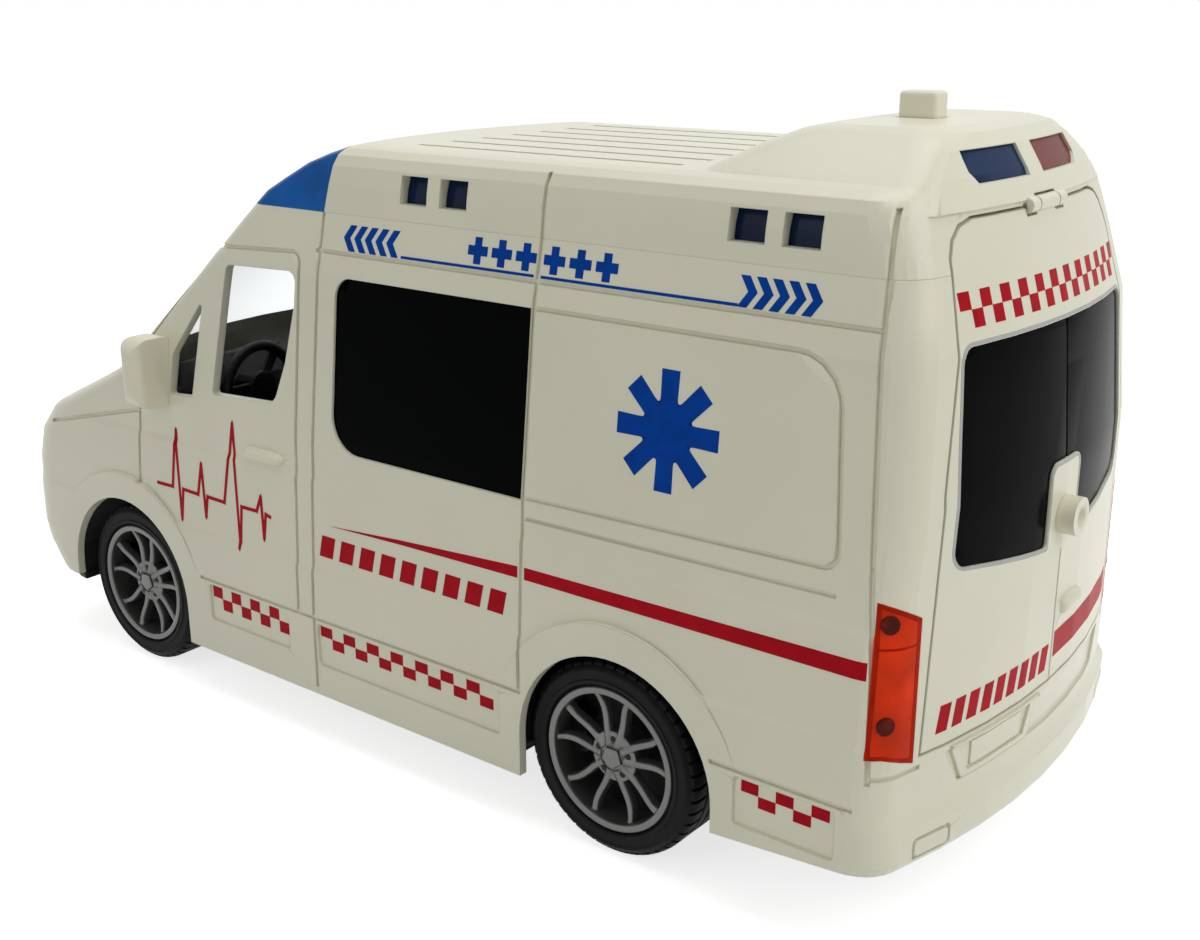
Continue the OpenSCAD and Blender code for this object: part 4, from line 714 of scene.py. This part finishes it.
def corner_arc(before, corner, after, radius, steps=6):
    """Points of the arc that rounds a corner between its neighbours."""
    back, ahead = (before - corner).normalized(), (after - corner).normalized()
    half = back.angle(ahead) / 2
    centre = corner + (back + ahead).normalized() * radius / math.sin(half)
    start, end = (corner + edge * radius / math.tan(half) - centre for edge in (back, ahead))
    return [centre + start.lerp(end, s / steps).normalized() * radius for s in range(steps + 1)]


def rounded(path):
    """The points of a path whose corners are given with their radius, where 0 stays sharp."""
    flat = [Vector(p[:2]) for p in path]
    points = []
    for k, (_, _, radius) in enumerate(path):
        points += corner_arc(flat[k - 1], flat[k], flat[k + 1], radius) if radius else [flat[k]]
    return points


# The band is painted shade on the recess's sloped inner edge
half_recess_shade = band(rounded(RECESS_SHADE_PATH), RECESS_SHADE_W, tip=RECESS_SHADE_W / 2)
other_half = [[(-y, z) for y, z in outline] for outline in half_recess_shade]
seal = joined([ink("seal", half_recess_shade + other_half, RECESS_SHADE, REAR, shell="tailgate")],
              "gate_window_seal", "tailgate")
print("painted recess shade:", len(seal.data.polygons), "faces")

# %% [markdown]
# ## Number plate and handles
# A bare number plate sits in a tapered frame below the tailgate, and a moulded bar stands on each cab
# door and on the tailgate. The plate and its frame are laid on the shell in two thicknesses, because
# the shell is bowed there; each bar is a loft of oval sections that swell from its ends, with its back
# sunk in the shell.

# %% Number plate
FRAME_OUT = [(31.5, 34.7), (4.0, 34.7), (7.5, 27.7), (28.0, 27.7)]
FRAME_IN = [(28.8, 33.8), (6.7, 33.8), (9.0, 28.7), (26.5, 28.7)]
PLATE = box_outline(10.2, 29.2, 25.4, 33.4)
FRAME_RISE, PLATE_RISE = 0.5 * MM, 0.3 * MM
frame_sides = []
for k in range(len(FRAME_OUT)):
    m = (k + 1) % len(FRAME_OUT)
    frame_sides.append([FRAME_OUT[k], FRAME_OUT[m], FRAME_IN[m], FRAME_IN[k]])
plate = joined([ink("plate_frame", frame_sides, IVORY, REAR, detail=4, film=FRAME_RISE),
                ink("plate_blank", [PLATE], IVORY, REAR, detail=4, film=PLATE_RISE)],
               "number_plate", "vehicle")
print("number plate:", len(plate.data.polygons), "faces")

# %% Loft helper
def loft(shape, loops, ring=False):
    """Faces between neighbouring loops; a ring returns to its first loop, else both ends are closed."""
    count = len(loops[0])
    for loop, following in zip(loops, loops[1:] + loops[:1] if ring else loops[1:]):
        for j in range(count):
            m = (j + 1) % count
            shape.faces.new((loop[j], loop[m], following[m], following[j]))
    if not ring:
        shape.faces.new(loops[0])
        shape.faces.new(loops[-1][::-1])


# %% Handles
HANDLE_SECTIONS, HANDLE_SIDES = 14, 14
# How blunt the ends are, their least swell, how far the back is sunk and the angle that stays crisp
HANDLE_BLUNT, HANDLE_TIP, HANDLE_SUNK, HANDLE_ANGLE = 5, 0.05, -0.3, 50


def handle_bar(name, centre, along, out, length, height, stand, body):
    """A bar of oval section, in mm, that stands out from a shell."""
    shape = bmesh.new()
    rings = []
    for k in range(HANDLE_SECTIONS + 1):
        t = math.cos(math.pi * k / HANDLE_SECTIONS)
        swell = max(HANDLE_TIP, math.sqrt(1 - abs(t) ** HANDLE_BLUNT))
        ring = []
        for j in range(HANDLE_SIDES):
            a = j * math.tau / HANDLE_SIDES
            rise = Vector((0, 0, height / 2 * swell * math.cos(a)))
            reach = Vector(out) * stand * swell * max(math.sin(a), HANDLE_SUNK)
            middle = Vector(centre) + Vector(along) * t * length / 2
            ring.append(shape.verts.new((middle + rise + reach) * MM))
        rings.append(ring)
    loft(shape, rings)
    bmesh.ops.recalc_face_normals(shape, faces=shape.faces)
    mesh = bpy.data.meshes.new(name)
    shape.to_mesh(mesh)
    shape.free()
    piece = smooth(new_piece(name, mesh, IVORY), HANDLE_ANGLE)
    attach(piece, body)
    return piece


DOOR_X, DOOR_Y, DOOR_Z = 28.9, 47.1, 59.8
DOOR_HANDLE = dict(length=12.6, height=2.8, stand=2.1, body="vehicle")
GATE_HANDLE_AT = (-122.2, -7.0, 48.53)
GATE_HANDLE = dict(length=9.0, height=3.5, stand=1.6, body="tailgate")
for side, name in HANDS.items():
    door = (DOOR_X, side * DOOR_Y, DOOR_Z)
    handle_bar(f"door_handle_{name}", door, (1, 0, 0), (0, side, 0), **DOOR_HANDLE)
handle_bar("tailgate_handle", GATE_HANDLE_AT, (0, 1, 0), (-1, 0, 0), **GATE_HANDLE)
print("handles: two doors and the tailgate")

# %% [markdown]
# ## Wheels
# The rims have five forked spokes, a five-sided cap and five lug nuts, and a brake disc shows behind
# them. One spoke pair, one lug nut and one tread block are modelled about the origin and the ring tree
# turns the copies about the axle. Turned pieces come from a profile of depth and radius in mm, where
# depth is measured inwards from the wheel's outer face.

# %% Wheel places
AXLES = {"front": "front_axle", "rear": "rear_axle"}
low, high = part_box("rear_tyre_left")
FACE_Y = high[1] / MM
TYRE_R = (high[2] - low[2]) / 2 / MM
TYRE_W = (high[1] - low[1]) / MM
RIM_R = 14.2
print("wheel face at", round(FACE_Y, 2), "tyre radius", round(TYRE_R, 2), "width", round(TYRE_W, 2))


def axle_centre(end):
    """The middle of an axle, from its solid."""
    lowest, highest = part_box(AXLES[end])
    return Vector(((lowest[0] + highest[0]) / 2, 0, (lowest[2] + highest[2]) / 2))


def turned(profile, segments=96):
    """A ring with the closed profile of depth and radius, on both wheels of an axle."""
    shape = bmesh.new()
    for side in HANDS:
        rings = []
        for k in range(segments):
            a = k * math.tau / segments
            ring = []
            for d, r in profile:
                point = Vector((r * math.cos(a), side * (FACE_Y - d), r * math.sin(a)))
                ring.append(shape.verts.new(point * MM))
            rings.append(ring)
        loft(shape, rings, ring=True)
    bmesh.ops.recalc_face_normals(shape, faces=shape.faces)
    return shape


def on_both_wheels(shape):
    """Copy a shape, modelled for the left wheel, to the right wheel as its mirror image."""
    copies = bmesh.ops.duplicate(shape, geom=shape.verts[:] + shape.edges[:] + shape.faces[:])["geom"]
    for vert in (g for g in copies if isinstance(g, bmesh.types.BMVert)):
        vert.co.y = -vert.co.y
    bmesh.ops.recalc_face_normals(shape, faces=shape.faces)
    return shape


def wheel_piece(name, shape, material, end, count):
    """Turn copies of a shape about an axle."""
    mesh = bpy.data.meshes.new(name)
    shape.to_mesh(mesh)
    shape.free()
    piece = new_piece(name, mesh, material)
    return use_tree(piece, ring_tree, Count=count, Centre=axle_centre(end), Finish=material)


# %% Shapes of the tyre
RIB_R, GROOVE_R, SHOULDER_R, WALL_R = TYRE_R - 0.02, 18.45, 18.35, 17.9
CARCASS = [(0.7, RIM_R), (0.1, RIM_R + 0.5), (0.0, RIM_R + 1.1), (0.25, RIM_R + 1.3), (0.3, RIM_R + 2.6),
           (0.1, RIM_R + 2.8), (0.15, RIM_R + 3.1), (0.7, WALL_R), (1.6, SHOULDER_R), (4.6, GROOVE_R),
           (4.8, RIB_R), (6.4, RIB_R), (6.6, GROOVE_R), (7.4, GROOVE_R), (7.6, RIB_R), (9.2, RIB_R),
           (9.4, GROOVE_R), (12.4, SHOULDER_R), (13.3, WALL_R), (13.85, RIM_R + 3.0), (14.0, RIM_R + 1.1),
           (13.3, RIM_R)]
TREAD_COUNT, TREAD_SHARE = 46, 0.74
TREAD_SLANT = 0.004
TREAD_BLOCK = [(0.85, 17.6), (0.95, SHOULDER_R), (1.5, 18.8), (2.4, TYRE_R), (4.1, TYRE_R), (4.1, 18.2)]


def tread_block(profile):
    """A shoulder block as wide as a share of its pitch; its ends turn by the slant, in radians a mm."""
    shape = bmesh.new()
    half = TREAD_SHARE * math.pi / TREAD_COUNT
    ends = []
    for edge in (-half, half):
        end = []
        for d, r in profile:
            a = edge + TREAD_SLANT * d
            end.append(shape.verts.new(Vector((r * math.sin(a), FACE_Y - d, r * math.cos(a))) * MM))
        ends.append(end)
    loft(shape, ends)
    return shape


# %% Shapes of the rim
LIP = [(0.75, RIM_R), (0.25, RIM_R - 0.35), (0.15, RIM_R - 0.9), (0.4, RIM_R - 1.5), (1.2, RIM_R - 1.75),
       (4.2, RIM_R - 1.35), (13.3, RIM_R - 1.3), (13.3, RIM_R)]
BRAKE_DISC = [(7.4, 4.0), (7.4, RIM_R - 1.2), (8.6, RIM_R - 1.2), (8.6, 4.0)]
HUB = [(2.0, 0.4), (1.9, 4.5), (2.2, 4.9), (2.9, 5.05), (4.6, 4.8), (4.8, 4.2), (15.0, 4.2), (15.0, 0.4)]
# Spokes: sizes and depths in mm; foot, pinch and spread are angles in degrees from the fork's middle;
# run is how fast the pinch comes on.
SPOKE_FORKS, SPOKE_STEPS = 5, 9
SPOKE_IN, SPOKE_OUT = 2.6, RIM_R - 1.3
SPOKE_FOOT, SPOKE_PINCH, SPOKE_SPREAD, SPOKE_RUN = 19, 10, 8.5, 1.15
SPOKE_FACE, SPOKE_DISH, SPOKE_RISE = 1.35, 0.75, 0.25
SPOKE_HALF, SPOKE_TAPER, SPOKE_DEPTH = 0.86, 0.12, 1.9
# Half of a spoke's section, from its back to its ridge: share of the half width, and depth in mm
SPOKE_SECTION = [(1.0, SPOKE_DEPTH), (1.0, 0.55), (0.62, 0.12), (0.0, 0.0)]
CHAMFER = 0.18


def spoke_pair():
    """Two bowed spokes that leave the hub beside a lug nut and spread to the lip."""
    shape = bmesh.new()
    for s in (-1, 1):
        loops = []
        for k in range(SPOKE_STEPS + 1):
            t = k / SPOKE_STEPS
            r = SPOKE_IN + (SPOKE_OUT - SPOKE_IN) * t
            pinch = SPOKE_PINCH * math.sin(math.pi / 2 * min(1, SPOKE_RUN * t)) ** 2
            a = s * math.radians(SPOKE_FOOT - pinch + SPOKE_SPREAD * t ** 2)
            depth = SPOKE_FACE + SPOKE_DISH * math.sin(math.pi * t) - SPOKE_RISE * t
            wide = SPOKE_HALF - SPOKE_TAPER * t
            section = [(-wide * share, d) for share, d in SPOKE_SECTION]
            section += [(-u, d) for u, d in section[-2::-1]]
            out = Vector((math.sin(a), 0, math.cos(a)))
            across = Vector((math.cos(a), 0, -math.sin(a)))
            loops.append([shape.verts.new((out * r + across * u + Vector((0, FACE_Y - depth - d, 0))) * MM)
                          for u, d in section])
        loft(shape, loops)
    return on_both_wheels(shape)


def prism(sides, radius, depth0, depth1, ring=0.0, taper=1.0, phase=0.0):
    """A prism about the wheel's axle direction, moved out to a ring, with a smaller outer face."""
    shape = bmesh.new()
    loops = []
    angles = [phase + k * math.tau / sides for k in range(sides)]
    for depth, r in ((depth0, radius * taper), (depth0 + CHAMFER, radius), (depth1, radius)):
        loops.append([shape.verts.new(Vector((r * math.sin(a), FACE_Y - depth, ring + r * math.cos(a))) * MM)
                      for a in angles])
    loft(shape, loops)
    return on_both_wheels(shape)


CALIPER = [(5.4, 8.8), (5.0, 9.4), (5.0, 12.0), (5.4, 12.6), (7.5, 12.6), (7.5, 8.8)]
CALIPER_ANGLES = range(62, 111, 6)


def caliper():
    """The brake caliper that is moulded on the disc: a curved block with chamfered edges."""
    shape = bmesh.new()
    loops = []
    for degrees in CALIPER_ANGLES:
        a = math.radians(degrees)
        loops.append([shape.verts.new(Vector((r * math.sin(a), FACE_Y - d, r * math.cos(a))) * MM)
                      for d, r in CALIPER])
    loft(shape, loops)
    return on_both_wheels(shape)


# %% Build the wheels of both axles
HUB_SEGMENTS, DISC_SEGMENTS, WHEEL_ANGLE = 48, 72, 40
# Prisms: sides, radius, depth of the outer face and of the back, then what else each one needs, in mm
CAP = dict(sides=5, radius=2.25, depth0=1.1, depth1=3.0, taper=0.86, phase=math.pi / 5)
DISC_HOLE, DISC_HOLES = dict(sides=10, radius=0.5, depth0=7.3, depth1=7.6, ring=10.4), 18
LUG = dict(sides=6, radius=0.72, depth0=1.75, depth1=3.0, ring=3.55, taper=0.8)
INNER_BLOCK = [(TYRE_W - d, r) for d, r in TREAD_BLOCK]
for end in AXLES:
    tyres = [wheel_piece(f"{end}_carcass", turned(CARCASS), RUBBER, end, 1),
             wheel_piece(f"{end}_tread", on_both_wheels(tread_block(TREAD_BLOCK)), RUBBER, end, TREAD_COUNT),
             wheel_piece(f"{end}_tread_inner", on_both_wheels(tread_block(INNER_BLOCK)), RUBBER, end,
                         TREAD_COUNT)]
    rims = [wheel_piece(f"{end}_lip", turned(LIP), RIM_GREY, end, 1),
            wheel_piece(f"{end}_hub", turned(HUB, HUB_SEGMENTS), RIM_GREY, end, 1),
            wheel_piece(f"{end}_spokes", spoke_pair(), RIM_GREY, end, SPOKE_FORKS),
            wheel_piece(f"{end}_cap", prism(**CAP), RIM_GREY, end, 1)]
    brakes = [wheel_piece(f"{end}_disc", turned(BRAKE_DISC, DISC_SEGMENTS), DISC_GREY, end, 1),
              wheel_piece(f"{end}_caliper", caliper(), DISC_GREY, end, 1),
              wheel_piece(f"{end}_disc_holes", prism(**DISC_HOLE), DISC_GREY, end, DISC_HOLES)]
    lugs = [wheel_piece(f"{end}_lugs", prism(**LUG), BLACK, end, SPOKE_FORKS)]
    body = f"{end}_wheels"
    wheel_nodes = [f"{end}_{part}_{hand}" for part in ("tyre", "rim") for hand in HANDS.values()]
    tyre = smooth(joined(tyres, f"{end}_tyres", body), WHEEL_ANGLE)
    rim = smooth(joined(rims, f"{end}_rims", body), WHEEL_ANGLE)
    smooth(joined(brakes, f"{end}_brakes", body), WHEEL_ANGLE)
    joined(lugs, f"{end}_lug_nuts", body)
    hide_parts(*wheel_nodes[:2])
    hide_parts(*wheel_nodes[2:])
    print(end, "wheels:", len(tyre.data.polygons), "tyre and", len(rim.data.polygons), "rim faces")

# %% [markdown]
# ## Lamp pegs and painted edge shade
# Two moulded pegs hold each tail lamp and show through its lens as dark rounds. Darker red bands along
# the lens's edges and at a step near its upper end are painted shade, where the rounded lens turns from
# the light. All of these are thin films on the lens, laid with the same row tree as the prints.

# %% Lamp pegs and painted edge shade
PEG_Z, PEG_R, PEG_RISE, PEG_SIDES = (42.7, 59.4), 1.5, 0.3 * MM, 24
EDGE_SHADE_W, STEP_SHADE_W, STEP_Z = 0.7, 0.4, 55.4
# Edge and step of the lens on the corner's plane, where the shade is painted: u and z in mm
LENS_EDGE = [(-2.0, 61.15), (1.6, 62.4), (1.9, 55.0), (2.3, 45.0), (2.7, 37.4), (0.5, 37.4),
             (-5.15, 35.45), (-5.15, 59.4), (-2.0, 61.15)]
LENS_STEP = [(-4.8, STEP_Z), (2.1, STEP_Z)]
angles = [k * math.tau / PEG_SIDES for k in range(PEG_SIDES)]
rounds = [[(PEG_R * math.cos(a), z + PEG_R * math.sin(a)) for a in angles] for z in PEG_Z]
for side, name in HANDS.items():
    pegs = ink(f"lamp_pegs_{name}", rounds, LAMP_PEG, CORNER, side, f"tail_lamp_{name}", detail=1,
               film=PEG_RISE)
    joined([pegs], f"lamp_rounds_{name}", "vehicle")
    # Bands of painted shade along the lens's edge and at its step
    lines = band(LENS_EDGE, EDGE_SHADE_W, tip=EDGE_SHADE_W / 2) + band(LENS_STEP, STEP_SHADE_W)
    edges = ink(f"lamp_lines_{name}", lines, LAMP_EDGE_SHADE, CORNER, side, f"tail_lamp_{name}", detail=1)
    joined([edges], f"lamp_edges_{name}", "vehicle")
print("pegs at z", PEG_Z, "and a step at z", STEP_Z)
